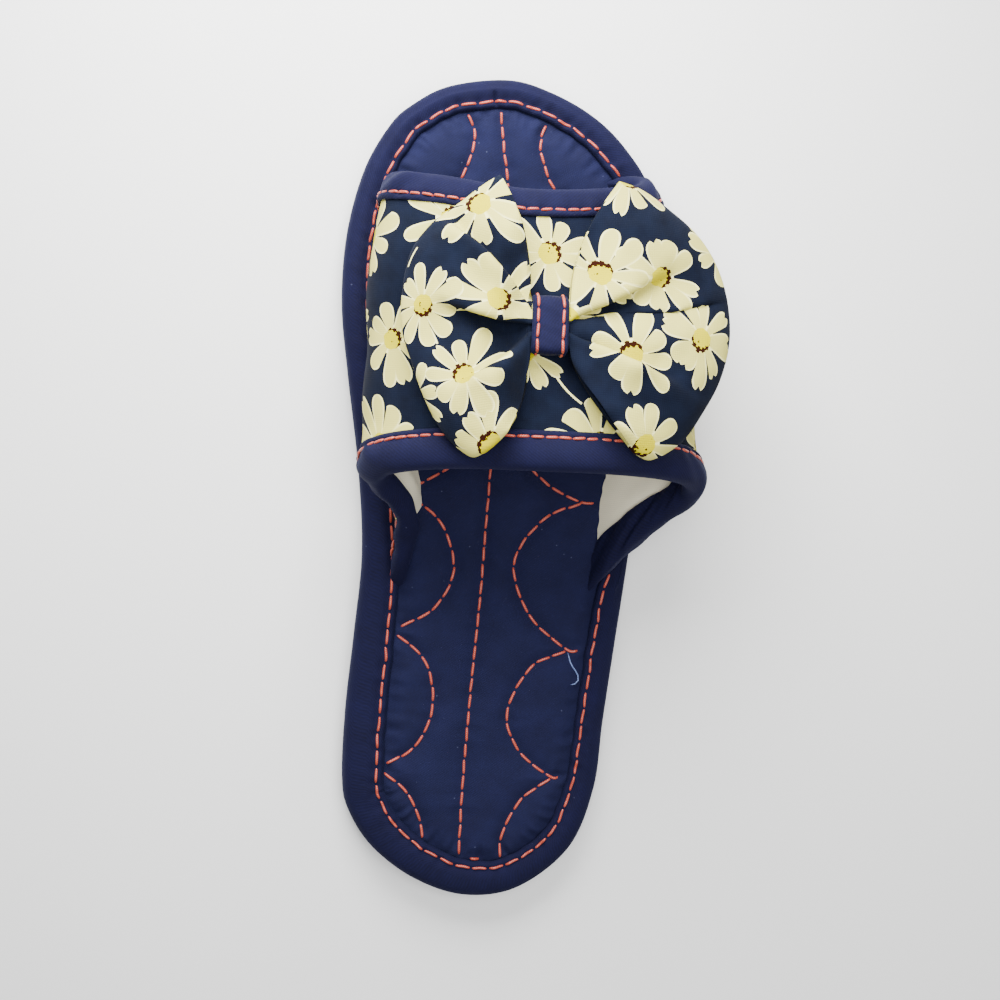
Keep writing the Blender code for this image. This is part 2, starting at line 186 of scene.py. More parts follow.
# Edge tapes of the band: how far in from the edge, and how far off the middle of the wall.
BAND_TAPE_STATIONS = 420
TOE_TAPE = (
    # inward, off the wall, right round the folded tape
    (7.0, 1.25), (6.9, 1.9), (6.2, 2.2), (5.3, 2.05), (4.2, 2.55), (2.2, 2.75), (0.2, 2.5), (-1.2, 1.5),
    (-1.6, 0.0), (-1.2, -1.5), (0.2, -2.5), (3.0, -2.6), (6.8, -2.1), (7.0, -1.3), (4.5, -1.2), (0.5, -1.2),
    (-0.4, 0.0), (0.5, 1.2), (4.5, 1.2),
)
COLLAR_TAPE = (
    # inward, off the wall, right round the folded tape
    (9.0, 1.3), (8.9, 2.0), (8.2, 2.35), (7.2, 2.15), (6.0, 2.9), (3.6, 3.55), (1.0, 3.4), (-1.2, 2.4),
    (-2.1, 0.0), (-1.2, -2.4), (1.0, -3.3), (4.5, -3.3), (8.8, -2.4), (9.0, -1.5), (5.0, -1.5), (0.5, -1.4),
    (-0.6, 0.0), (0.5, 1.4), (5.0, 1.5),
)
SEAM_TROUGH = 3
TOE_SEAM, COLLAR_SEAM = TOE_TAPE[SEAM_TROUGH][0], COLLAR_TAPE[SEAM_TROUGH][0]
# Puckers along the seam, slow swells, and wrinkles where the band bends down.
BAND_DIP, BAND_DIP_REACH, BAND_FACE = 0.1, 1.4, (1.3, 2.0)
BAND_PUCKER, BAND_PUCKER_SLANT, BAND_PUCKER_REACH, BAND_PUCKERS = 0.22, 0.4, 3.0, (5.1, 7.7, 9.4, 13.0)
BAND_SWELL, BAND_SWELLS = 0.2, (23.0, 37.0, 51.0)
BAND_WRINKLE, BAND_WRINKLE_SLANT, BAND_WRINKLES, BAND_BEND = 0.4, 1.3, (9.7, 14.9, 20.0), (0.4, 0.65)
# The collar tape widens down its outer arm, and the toe tape narrows to its ends.
ARM_SPREAD, ARM_SPREAD_ACROSS = 0.4, (0.66, 0.92)
TOE_END_NARROWING, TAPE_END_THINNING = 0.3, 0.45

# Bow. One wide ribbon makes both loops and is pinched in the middle by a strap.
KNOT = (9.3, 49.5)
RIBBON = 1.1
PINCH_HALF_WIDTH, PINCH_HALF_LENGTH, SPREAD_HALF_WIDTH = 5.8, 5.6, 37.0
PINCH_LIFT, PINCH_OPENING = 4.3, 3.0
LOOP_LIFT, FOLD_LIFT, LOOP_OPENING = 8.3, 6.5, 10.0
LOOP_OPENS_BY, LOOP_EDGE_CLOSING, FOLD_SHARPNESS = 0.5, 0.35, 5
OUTER_LOOP = (
    # place across the ribbon, how far the fold reaches out, how far to the toe
    (-1.0, 25.0, -33.3), (-0.88, 29.5, -34.6), (-0.7, 38.0, -29.5), (-0.5, 44.0, -21.5), (-0.3, 49.6, -11.5),
    (-0.1, 52.6, 0.0), (0.1, 52.0, 11.5), (0.3, 48.5, 21.5), (0.5, 42.5, 29.5), (0.7, 33.5, 36.0),
    (0.88, 25.5, 40.6), (1.0, 19.0, 42.3),
)
ARCH_LOOP = (
    # place across the ribbon, how far the fold reaches out, how far to the toe
    (-1.0, 16.6, -35.6), (-0.88, 20.0, -36.6), (-0.7, 26.6, -31.5), (-0.5, 32.0, -23.0), (-0.3, 36.2, -13.0),
    (-0.1, 39.6, -2.5), (0.1, 39.8, 8.5), (0.3, 37.8, 19.0), (0.5, 32.5, 26.5), (0.7, 25.0, 33.0),
    (0.88, 18.8, 38.4), (1.0, 14.8, 41.2),
)
# The seat under each loop falls away with the square of the distance from the crown.
DROOP = {1: 0.0046, -1: 0.0060}
VALLEY = {
    # side: place across, width, depth
    1: (0.20, 0.24, 4.8),
    -1: (-0.16, 0.24, 5.4),
}
PLEATS = (
    # side, place across, where it fades out, which edge is on top (1 toe, -1 heel), lap, height, half width
    (1, 0.36, 0.78, 1, 3.2, 2.9, 2.8),
    (1, 0.09, 1.15, 1, 2.6, 2.6, 2.4),
    (1, -0.42, 0.90, -1, 2.6, 2.4, 2.8),
    (-1, 0.55, 1.10, -1, 3.0, 2.9, 2.6),
    (-1, 0.05, 0.80, 1, 3.0, 2.9, 2.6),
    (-1, -0.50, 0.90, -1, 2.8, 2.8, 2.8),
)
PLEAT_AT_STRAP, PLEAT_FULL_BY, PLEAT_FADES_FROM = 0.25, 0.3, 0.5
PLEAT_WIDTH_AT_STRAP, PLEAT_WIDE_BY = 0.45, 0.4
PRINT_JUMP, PRINT_JUMP_STEEPNESS = 0.4, 2
# The highest value of the fold's curve, x * exp(-x * x)
FOLD_PEAK = 0.43
BULGE_ACROSS = (0.2, 1.0)
BULGE = {
    # side: how fast the ribbon spreads beside the strap at its toe edge, at its heel edge; 1 is evenly
    1: (0.50, 0.72),
    -1: (0.52, 0.32),
}
# Small gathers beside the strap, soft waves, and finer crinkles.
GATHER, GATHERS_ACROSS, GATHER_STARTS, GATHER_ENDS = 1.0, 9, (0.0, 0.12), (0.05, 0.5)
RIBBON_WAVE, RIBBON_WAVE_SIZE, RIBBON_CRINKLE, RIBBON_CRINKLE_SIZE = 0.5, 19.0, 0.16, 7.0
UNDERSIDE_WAVE, CREASE_FADE, DENT_EDGE = 0.3, 0.7, 1.5
DENTS = (
    # x, y of one end, x, y of the other, half width, depth of a crease in the top of a loop
    (-25.5, 72.7, -16.5, 77.3, 1.8, 1.6),
    (-16.5, 77.3, -15.0, 67.0, 2.2, 1.4),
    (50.0, 58.0, 60.5, 60.5, 2.0, 1.6),
    (40.0, 37.0, 54.0, 33.0, 2.6, 1.1),
    (-31.0, 45.0, -20.0, 41.0, 2.6, 1.0),
)
FAN_STEPS, STRAP_STEPS, RIBBON_STEPS = 72, 5, 120
STRAP_HALF_WIDTH, STRAP = 4.7, 1.1
STRAP_RING = (
    # to the toe, lift, of the strap's inner face
    (0.0, 7.3), (3.8, 7.2), (6.2, 6.8), (7.0, 5.4), (7.0, 3.2), (6.2, 1.9), (3.6, 1.7), (0.0, 1.7),
)
STRAP_PROFILE = (
    # place across in half widths, out from the inner face in thicknesses, right round
    (-1, 0), (0, 0.1), (1, 0), (1.02, 0.6), (0.93, 1.05), (0.72, 0.92), (0, 1.15), (-0.72, 0.92),
    (-0.93, 1.05), (-1.02, 0.6),
)
STRAP_RIPPLE, STRAP_RIPPLE_SLANT, STRAP_RIPPLES, STRAP_RIPPLED_ABOVE = 0.12, 2, (3.1, 5.3, 7.9), 0.5
STRAP_SEAM, STRAP_SEAM_SUNK, STRAP_SEAM_ABOVE, STRAP_MIDDLE = 3.5, 0.95, 2.4, 4.0

# Seams: one coral thread throughout. The pitch is from one needle hole to the next.
STITCH_PITCH, QUILT_PITCH, TOE_QUILT_PITCH, BAND_PITCH, STRAP_PITCH = 5.4, 5.1, 4.3, 3.9, 4.3
QUILT_PUCKERS = (QUILT_PITCH, 6.3, 9.1)
STITCH_SHARE, STITCH_STRAY, STITCH_LEAN = 0.97, 0.12, 0.16
THREAD_RADIUS, STITCH_LIFT, STITCH_DIVE, STITCH_THINNING = 0.43, 0.55, 1.5, 0.45
STITCH_SIDES, STITCH_STOPS = 8, 9
UP = (0, 0, 1)


def smooth(rows, key, column):
    """One column of a table between its rows, as a curve with no corners."""
    table = np.asarray(rows, float)
    keys, values = table[:, 0], table[:, column]
    last = len(keys) - 1
    before, after = np.maximum(np.arange(last + 1) - 1, 0), np.minimum(np.arange(last + 1) + 1, last)
    slopes = (values[after] - values[before]) / (keys[after] - keys[before])
    key = np.clip(key, keys[0], keys[-1])
    i = np.clip(np.searchsorted(keys, key) - 1, 0, last - 1)
    span = keys[i + 1] - keys[i]
    t = (key - keys[i]) / span
    return (
        values[i] * (2 * t**3 - 3 * t**2 + 1)
        + values[i + 1] * (3 * t**2 - 2 * t**3)
        + slopes[i] * span * (t**3 - 2 * t**2 + t)
        + slopes[i + 1] * span * (t**3 - t**2)
    )


def spline(points, steps, closed=False):
    """A curve through these points, finely stepped."""
    points = np.asarray(points, float)
    count = len(points)
    if closed:
        a, b, c, d = (np.roll(points, -k, 0) for k in (-1, 0, 1, 2))
    else:
        ends = np.concatenate([[2 * points[0] - points[1]], points, [2 * points[-1] - points[-2]]])
        a, b, c, d = (ends[k:k + count - 1] for k in range(4))
    t = (np.arange(steps) / steps)[None, :, None]
    a, b, c, d = (p[:, None] for p in (a, b, c, d))
    bend, twist = 2 * a - 5 * b + 4 * c - d, 3 * b - 3 * c + d - a
    curve = 0.5 * (2 * b + (c - a) * t + bend * t**2 + twist * t**3)
    curve = curve.reshape(-1, points.shape[1])
    return curve if closed else np.concatenate([curve, points[-1:]])


def path_lengths(points):
    """How far along a path each of its points lies."""
    return np.concatenate([[0], np.cumsum(np.linalg.norm(np.diff(points, axis=0), axis=1))])


def along(points, places):
    """Points this far along a path."""
    lengths = path_lengths(points)
    return np.stack([np.interp(places, lengths, points[:, k]) for k in range(points.shape[1])], -1)


def ease(value, low, high):
    """0 below low and 1 above high, with a soft change between."""
    t = np.clip((value - low) / (high - low), 0, 1)
    return t * t * (3 - 2 * t)


def ripple(place, lengths, seed):
    """An uneven wave along place, about one high, made of waves of these lengths."""
    phases = np.random.default_rng(seed).uniform(0, TURN, len(lengths))
    return sum(np.sin(TURN * place / l + p) for l, p in zip(lengths, phases)) / math.sqrt(len(lengths))


BUMP_WAVES, BUMP_SIZES = 9, (0.7, 1.6)


def unevenness(x, y, size, seed):
    """A soft random height over a sheet, about one high, with bumps about this far apart."""
    draw = np.random.default_rng(seed)
    total = 0
    for _ in range(BUMP_WAVES):
        turn, phase = draw.uniform(0, TURN, 2)
        length = size * draw.uniform(*BUMP_SIZES)
        total = total + np.sin(TURN * (x * math.cos(turn) + y * math.sin(turn)) / length + phase)
    return total / math.sqrt(BUMP_WAVES)


def unit(vectors):
    """Vectors of the same directions and length 1."""
    return vectors / np.linalg.norm(vectors, axis=-1, keepdims=True)


def sole_outline(count):
    """The sole's edge from above, from the toe down the outer side and back up the arch side."""
    sides, radii, turns = np.array(SOLE_SIDES), np.array(HEEL_RADII), np.radians(HEEL_ANGLES)
    heel = np.stack([HEEL_CENTRE[0] + radii * np.cos(turns), HEEL_CENTRE[1] - radii * np.sin(turns)], 1)
    control = np.concatenate([TOE_OUTER, sides[:, [2, 0]], heel, sides[::-1, [1, 0]], TOE_ARCH])
    curve = spline(control, 40, closed=True)
    curve = np.concatenate([curve, curve[:1]])
    total = path_lengths(curve)[-1]
    return along(curve, np.arange(count) / count * total), total


OUTLINE, GIRTH = sole_outline(TAPE_STATIONS)
OUTLINE_RUN = unit(np.roll(OUTLINE, -1, 0) - np.roll(OUTLINE, 1, 0))
INWARD = np.stack([OUTLINE_RUN[:, 1], -OUTLINE_RUN[:, 0]], 1)


def spring(y):
    """How far the sole has risen from the floor towards the toe."""
    return TOE_SPRING * (np.maximum(y - SPRING_START, 0) / (SPRING_END - SPRING_START)) ** 2


def sole_ring(inset, height):
    """The sole's outline moved in, at a height that follows the toe spring."""
    moved = OUTLINE + INWARD * np.reshape(inset, (-1, 1))
    return np.column_stack([moved, height + spring(moved[:, 1])])


FOOT_RING = sole_ring(FOOT_INSET, 0)
HEEL_STATION = int(FOOT_RING[:, 1].argmin())
TOE_STATION = int(FOOT_RING[:, 1].argmax())
OUTER_FEET = FOOT_RING[:HEEL_STATION][::-1]
ARCH_FEET = FOOT_RING[HEEL_STATION:TOE_STATION if TOE_STATION > HEEL_STATION else None]


def band(across, share):
    """Middle of the vamp band's wall, share running from its front edge to its back edge, and the
    length of cloth from the crown."""
    across, share = (np.ravel(a) for a in np.broadcast_arrays(np.asarray(across, float), share))
    front, back = smooth(FRONT_EDGE, across, 1), smooth(BACK_EDGE, across, 1)
    y = front + (back - front) * share
    side = np.where(across < 0, -1.0, 1.0)
    crown_x, crown_z, wide_z = (smooth(SECTIONS, y, c) for c in (1, 2, 3))
    overhang = np.where(across < 0, smooth(SECTIONS, y, 4), smooth(SECTIONS, y, 5))
    feet = [np.interp(y, ring[:, 1], ring[:, 0]) for ring in (ARCH_FEET, OUTER_FEET)]
    foot = np.stack([np.where(across < 0, *feet), FOOT_HEIGHT + spring(y)], 1)
    wide = np.stack([foot[:, 0] + side * overhang, wide_z], 1)
    turn = np.linspace(0, math.pi / 2, 48)[:-1]
    top_x = crown_x[:, None] + (wide[:, 0] - crown_x)[:, None] * np.sin(turn)
    top_z = wide_z[:, None] + (crown_z - wide_z)[:, None] * np.cos(turn)
    pull = FOOT_PULL * (wide_z - foot[:, 1])
    above = wide - np.stack([0 * pull, pull], 1)
    rise = np.stack([side * math.cos(FOOT_ANGLE), 0 * side + math.sin(FOOT_ANGLE)], 1)
    below = foot + pull[:, None] * rise
    t = np.linspace(0, 1, 40)[None, :, None]
    wide, above, below, foot = (p[:, None] for p in (wide, above, below, foot))
    low = wide * (1 - t) ** 3 + 3 * above * t * (1 - t) ** 2 + 3 * below * t**2 * (1 - t) + foot * t**3
    section = np.concatenate([np.stack([top_x, top_z], 2), low], 1)
    lengths = np.cumsum(np.linalg.norm(np.diff(section, axis=1), axis=2), axis=1)
    lengths = np.concatenate([np.zeros((len(y), 1)), lengths], 1)
    wanted = np.abs(across) * lengths[:, -1]
    i = np.clip((lengths < wanted[:, None]).sum(1) - 1, 0, lengths.shape[1] - 2)
    each = np.arange(len(y))
    part = (wanted - lengths[each, i]) / (lengths[each, i + 1] - lengths[each, i])
    place = section[each, i] * (1 - part)[:, None] + section[each, i + 1] * part[:, None]
    return np.stack([place[:, 0], y, place[:, 1]], 1), wanted * side


def band_frame(across, share):
    """A point of the band with its outward normal and the run to the back."""
    small = 0.004
    across, share = (np.ravel(a) for a in np.broadcast_arrays(np.asarray(across, float), share))
    middle = np.clip(across, small - 1, 1 - small)
    over = band(middle + small, share)[0] - band(middle - small, share)[0]
    back = band(across, share + small)[0] - band(across, share - small)[0]
    return band(across, share)[0], unit(np.cross(back, over)), back / (2 * small)


def taped(across, edge, inward, off):
    """Points beside the band's front edge (0) or back edge (1), this far in and off the wall."""
    run = np.linalg.norm(band_frame(across, 0.5)[2], axis=1)
    toward = 1 if edge == 0 else -1
    point, normal, back = band_frame(across, edge + toward * np.maximum(inward, 0) / run)
    outside = np.minimum(inward, 0)
    return point + normal * np.reshape(off, (-1, 1)) + unit(back) * np.reshape(toward * outside, (-1, 1))


def seat(x, y):
    """Height of the surface that the bow lies on, drooping to both sides."""
    crown_x, crown_z = smooth(SECTIONS, y, 1), smooth(SECTIONS, y, 2)
    droop = np.where(x > crown_x, DROOP[1], DROOP[-1])
    return crown_z + WALL / 2 - droop * (x - crown_x) ** 2


def show(piece, slot, *nodes):
    """The piece moves with the slipper and takes the place of these solids."""
    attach(piece, "root")
    if nodes:
        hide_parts(*nodes)
    return piece


def piece_from(name, points, faces, materials):
    """A smooth piece with these points, in millimetres."""
    mesh = bpy.data.meshes.new(name)
    mesh.from_pydata(np.asarray(points) * MM, [], faces)
    mesh.shade_smooth()
    for finish in materials:
        mesh.materials.append(finish)
    piece = bpy.data.objects.new(name, mesh)
    bpy.context.scene.collection.objects.link(piece)
    return piece


def loft(name, rings, uv, materials, joined=False):
    """A closed piece over closed rings of points, joined end to end or with a ladder of faces across
    each end. uv is in millimetres of cloth, with a row and a column more where the rings close."""
    stations, count = rings.shape[:2]
    s, k = (a.ravel() for a in np.meshgrid(
        np.arange(stations if joined else stations - 1), np.arange(count), indexing="ij"))
    corner_s = np.stack([s, s, s + 1, s + 1], 1)
    corner_k = np.stack([k, k + 1, k + 1, k], 1)
    if not joined:
        rung = np.arange(count // 2 - 1)
        across = np.stack([rung, rung + 1, count - 2 - rung, count - 1 - rung], 1)
        corner_s = np.concatenate([corner_s, 0 * across, 0 * across + stations - 1])
        corner_k = np.concatenate([corner_k, across[:, ::-1], across])
    faces = corner_s % stations * count + corner_k % count
    points = rings.reshape(-1, 3)
    a, b, c, d = (points[faces[:, j]] for j in range(4))
    if (a * np.cross(b, c)).sum() + (a * np.cross(c, d)).sum() < 0:
        faces, corner_s, corner_k = (x[:, ::-1] for x in (faces, corner_s, corner_k))
    piece = piece_from(name, points, faces.tolist(), materials)
    layer = piece.data.uv_layers.new(name="cloth")
    layer.uv.foreach_set("vector", uv[corner_s, corner_k].astype(np.float32).ravel())
    return piece


def seam(name, rows, thread, radius=THREAD_RADIUS):
    """A row of stitches along each path: rows holds its points, the way up at each, and the pitch."""
    points, faces, places_on = [], [], []
    sides, stops = STITCH_SIDES, STITCH_STOPS
    t = np.linspace(-1, 1, stops)
    turn = np.arange(sides) / sides * TURN
    height = radius * (STITCH_LIFT - STITCH_DIVE * t**6)
    thick = radius * (1 - STITCH_THINNING * t**4)
    for number, (path, ups, pitch) in enumerate(rows):
        lengths = path_lengths(path)
        count = max(int(round(lengths[-1] / pitch)), 1)
        step = lengths[-1] / count
        draw = np.random.default_rng(number + 11)
        middle = (np.arange(count) + 0.5) * step + draw.uniform(-STITCH_STRAY, STITCH_STRAY, count)
        places = np.clip(middle[:, None] + t * STITCH_SHARE * step / 2, 0, lengths[-1])
        at = along(path, places)
        up = unit(np.stack([np.interp(places, lengths, ups[:, k]) for k in range(3)], -1))
        run = unit(np.gradient(at, axis=1) + TINY)
        beside = unit(np.cross(run, up))
        lean = draw.uniform(-STITCH_LEAN, STITCH_LEAN, count)[:, None, None] * t[None, :, None]
        at = at + up * height[None, :, None] + beside * lean
        ring = beside[:, :, None] * np.cos(turn)[:, None] + up[:, :, None] * np.sin(turn)[:, None]
        tube = at[:, :, None] + ring * thick[None, :, None, None]
        start = sum(len(p) for p in points)
        points.append(tube.reshape(-1, 3))
        twist = np.broadcast_to(turn * radius, tube.shape[:3])
        length = np.broadcast_to(places[:, :, None], tube.shape[:3])
        places_on.append(np.stack([length, twist], -1).reshape(-1, 2))
        for i in range(count):
            base = start + i * stops * sides
            for j in range(stops - 1):
                a = base + j * sides
                for k in range(sides):
                    n = (k + 1) % sides
                    faces.append((a + k, a + n, a + sides + n, a + sides + k))
            faces.append(tuple(base + k for k in range(sides))[::-1])
            faces.append(tuple(base + (stops - 1) * sides + k for k in range(sides)))
    piece = piece_from(name, np.concatenate(points), faces, [thread])
    corners = np.empty(len(piece.data.loops), np.int32)
    piece.data.loops.foreach_get("vertex_index", corners)
    layer = piece.data.uv_layers.new(name="cloth")
    layer.uv.foreach_set("vector", np.concatenate(places_on)[corners].astype(np.float32).ravel())
    return piece


# Colours of the cloths, as sRGB, and sizes of their patterns in millimetres.
GROUND_DARK, GROUND_LIGHT = "#080B16", "#121A2D"
CREAM_DEEP, CREAM_DARK, CREAM_LIGHT = "#CBC46A", "#E5DF8A", "#FAF6B6"
EYE_YELLOW, EYE_BROWN = "#C4B800", "#2A0F04"
LINT, NAVY_NAP, BACKDROP, SKY_COLOUR = "#7E86A8", "#5A66B4", "#F4F4F3", "#F4F6FA"
RIB_TURN, CROSS_TURN, PLY_TURN = math.radians(52), math.radians(-20), math.radians(35)
WEAVE, THREAD_PLY, PEBBLE, STEM_HALF_WIDTH = 0.6, 0.5, 1.6, 0.3
YARN_DEPTH, PLY_DEPTH, PEBBLE_DEPTH = 0.05, 0.08, 0.25
TWILL_PATCH, TWILL_NAP, PRINT_PATCH, LINING_PATCH = 8.0, 0.5, 5.0, 9.0
THREAD_PATCH, RUBBER_PATCH = 2.5, 12.0
# How much each pattern changes a cloth's tone
RIB_TONE, PATCH_TONE, NAP_TONE, TWILL_SHIFT = 0.18, 0.45, 0.45, -0.14
GROUND_WEAVE, GROUND_PATCH, GROUND_SHIFT, CREAM_WEAVE, LINING_WEAVE = 0.08, 0.9, -0.13, 0.1, 0.2
# A wave texture of scale 1 has this many radians to the unit.
WAVE_UNIT = 20
LINT_SPACING, LINT_SIZE, LINT_ABOVE, LINT_STRENGTH = 2.4, 0.22, 0.94, 0.16

# One printed daisy of radius 1, its petals' lean in radians. What ends in MORE is added by chance.
PETAL_LEAN, PETAL_LENGTH, PETAL_LENGTH_MORE, PETAL_WIDTH, PETAL_WIDTH_MORE = 0.16, 0.74, 0.36, 0.20, 0.11
PETAL_FOOT, PETAL_TIP, NOTCH, NOTCH_STEEPNESS, NOTCHED_ABOVE = 0.7, 6.0, 0.10, 14.0, 0.45
HEART, PALE_AT_HEART, PALE_OUTWARD, PALE_EDGE, PALE_STRENGTH = 0.33, 0.6, 0.7, 20.0, 0.9
EYE, EYE_WAVE, EYE_WAVES = 0.225, 0.05, 9.0
RIM, RIM_LEAST, RIM_DOTS, DOT_ABOVE, DOT_LEAST = 0.055, 0.004, 11.0, -0.3, 0.45
SPECK_WITHIN, SPECK_ABOVE = 0.18, 0.66
STEM_LEVEL, PETAL_LEVEL, EYE_LEVEL, RIM_LEVEL = 1.9, 1.0, 2.0, 3.0
PETAL_FROM, EYE_FROM, RIM_FROM = 0.5, 1.95, 2.5


def linear(hex_colour):
    """A colour for a shader from its sRGB hex value."""
    parts = [int(hex_colour[i:i + 2], 16) / 255 for i in (1, 3, 5)]
    return (*(c / 12.92 if c <= 0.04045 else ((c + 0.055) / 1.055) ** 2.4 for c in parts), 1)


def add(tree, kind, *values, **settings):
    """A node of this kind, or one that does this sum. The values, or the sockets that they come from, go to
    its sockets in order, or by name where one dict is given."""
    node = tree.nodes.new("ShaderNodeMath" if kind.isupper() else kind)
    if kind.isupper():
        node.operation = kind
    for name, value in settings.items():
        setattr(node, name, value)
    by_name = values and isinstance(values[0], dict)
    for socket, source in values[0].items() if by_name else enumerate(values):
        if isinstance(source, bpy.types.NodeSocket):
            tree.links.new(source, node.inputs[socket])
        else:
            node.inputs[socket].default_value = source
    return node.outputs


def material(name, **constants):
    """A new material with constants on its shader's own sockets, and the place on its cloth in mm."""
    made = bpy.data.materials.new(name)
    made.use_nodes = True
    tree = made.node_tree
    shader = tree.nodes["Principled BSDF"]
    for socket, value in constants.items():
        shader.inputs[socket.replace("_", " ")].default_value = value
    return made, tree, shader, add(tree, "ShaderNodeUVMap", uv_map="cloth")[0]


def finish_surface(tree, shader, colour, height, depth):
    """Gives a shader its colour and its bumps, which are this many millimetres deep."""
    bump = add(tree, "ShaderNodeBump", {"Strength": 0.5, "Distance": depth * MM, "Height": height})[0]
    tree.links.new(colour, shader.inputs["Base Color"])
    tree.links.new(bump, shader.inputs["Normal"])


def threads(tree, place, spacing, turn):
    """Yarns that lie side by side this many millimetres apart, turned this far, 0 to 1."""
    turned = add(tree, "ShaderNodeMapping", {"Vector": place, "Rotation": (0, 0, turn)})[0]
    return add(tree, "ShaderNodeTexWave", {
        "Vector": turned, "Scale": TURN / WAVE_UNIT / spacing, "Distortion": 0.6, "Detail": 1.0,
        "Detail Scale": 1.5,
    }, wave_type="BANDS", bands_direction="X")[1]


def twill(name, dark, light, spacing):
    """Woven cotton twill, piece dyed: fine slanting ribs, a dull soft face and a few specks of lint. The
    ribs are drawn a little wider than real ones, so that they show."""
    made, tree, shader, place = material(
        name, Roughness=0.88, Sheen_Weight=0.06, Sheen_Roughness=0.5, Sheen_Tint=linear(NAVY_NAP),
        Specular_IOR_Level=0.15)
    rib, cross = (threads(tree, place, spacing, turn) for turn in (RIB_TURN, CROSS_TURN))
    uneven = add(tree, "ShaderNodeTexNoise", {"Vector": place, "Scale": 1 / TWILL_PATCH, "Detail": 5.0})[0]
    fine = add(tree, "ShaderNodeTexNoise", {"Vector": place, "Scale": 1 / TWILL_NAP, "Detail": 2.0})[0]
    tone = add(tree, "MULTIPLY_ADD", rib, RIB_TONE, add(tree, "MULTIPLY", uneven, PATCH_TONE)[0])[0]
    tone = add(tree, "ADD", tone, add(tree, "MULTIPLY_ADD", fine, NAP_TONE, TWILL_SHIFT)[0])[0]
    cloth = add(tree, "ShaderNodeMix", {0: tone, 6: linear(dark), 7: linear(light)}, data_type="RGBA")[2]
    specks = add(tree, "ShaderNodeTexVoronoi", {"Vector": place, "Scale": 1 / LINT_SPACING})
    rare = add(tree, "GREATER_THAN", add(tree, "ShaderNodeSeparateXYZ", specks["Color"])[0], LINT_ABOVE)[0]
    near = add(tree, "LESS_THAN", specks["Distance"], LINT_SIZE / LINT_SPACING)[0]
    lint = add(tree, "MULTIPLY", add(tree, "MULTIPLY", rare, near)[0], LINT_STRENGTH)[0]
    cloth = add(tree, "ShaderNodeMix", {0: lint, 6: cloth, 7: linear(LINT)}, data_type="RGBA")[2]
    finish_surface(tree, shader, cloth, add(tree, "MULTIPLY_ADD", cross, 0.5, rib)[0], YARN_DEPTH)
    return made


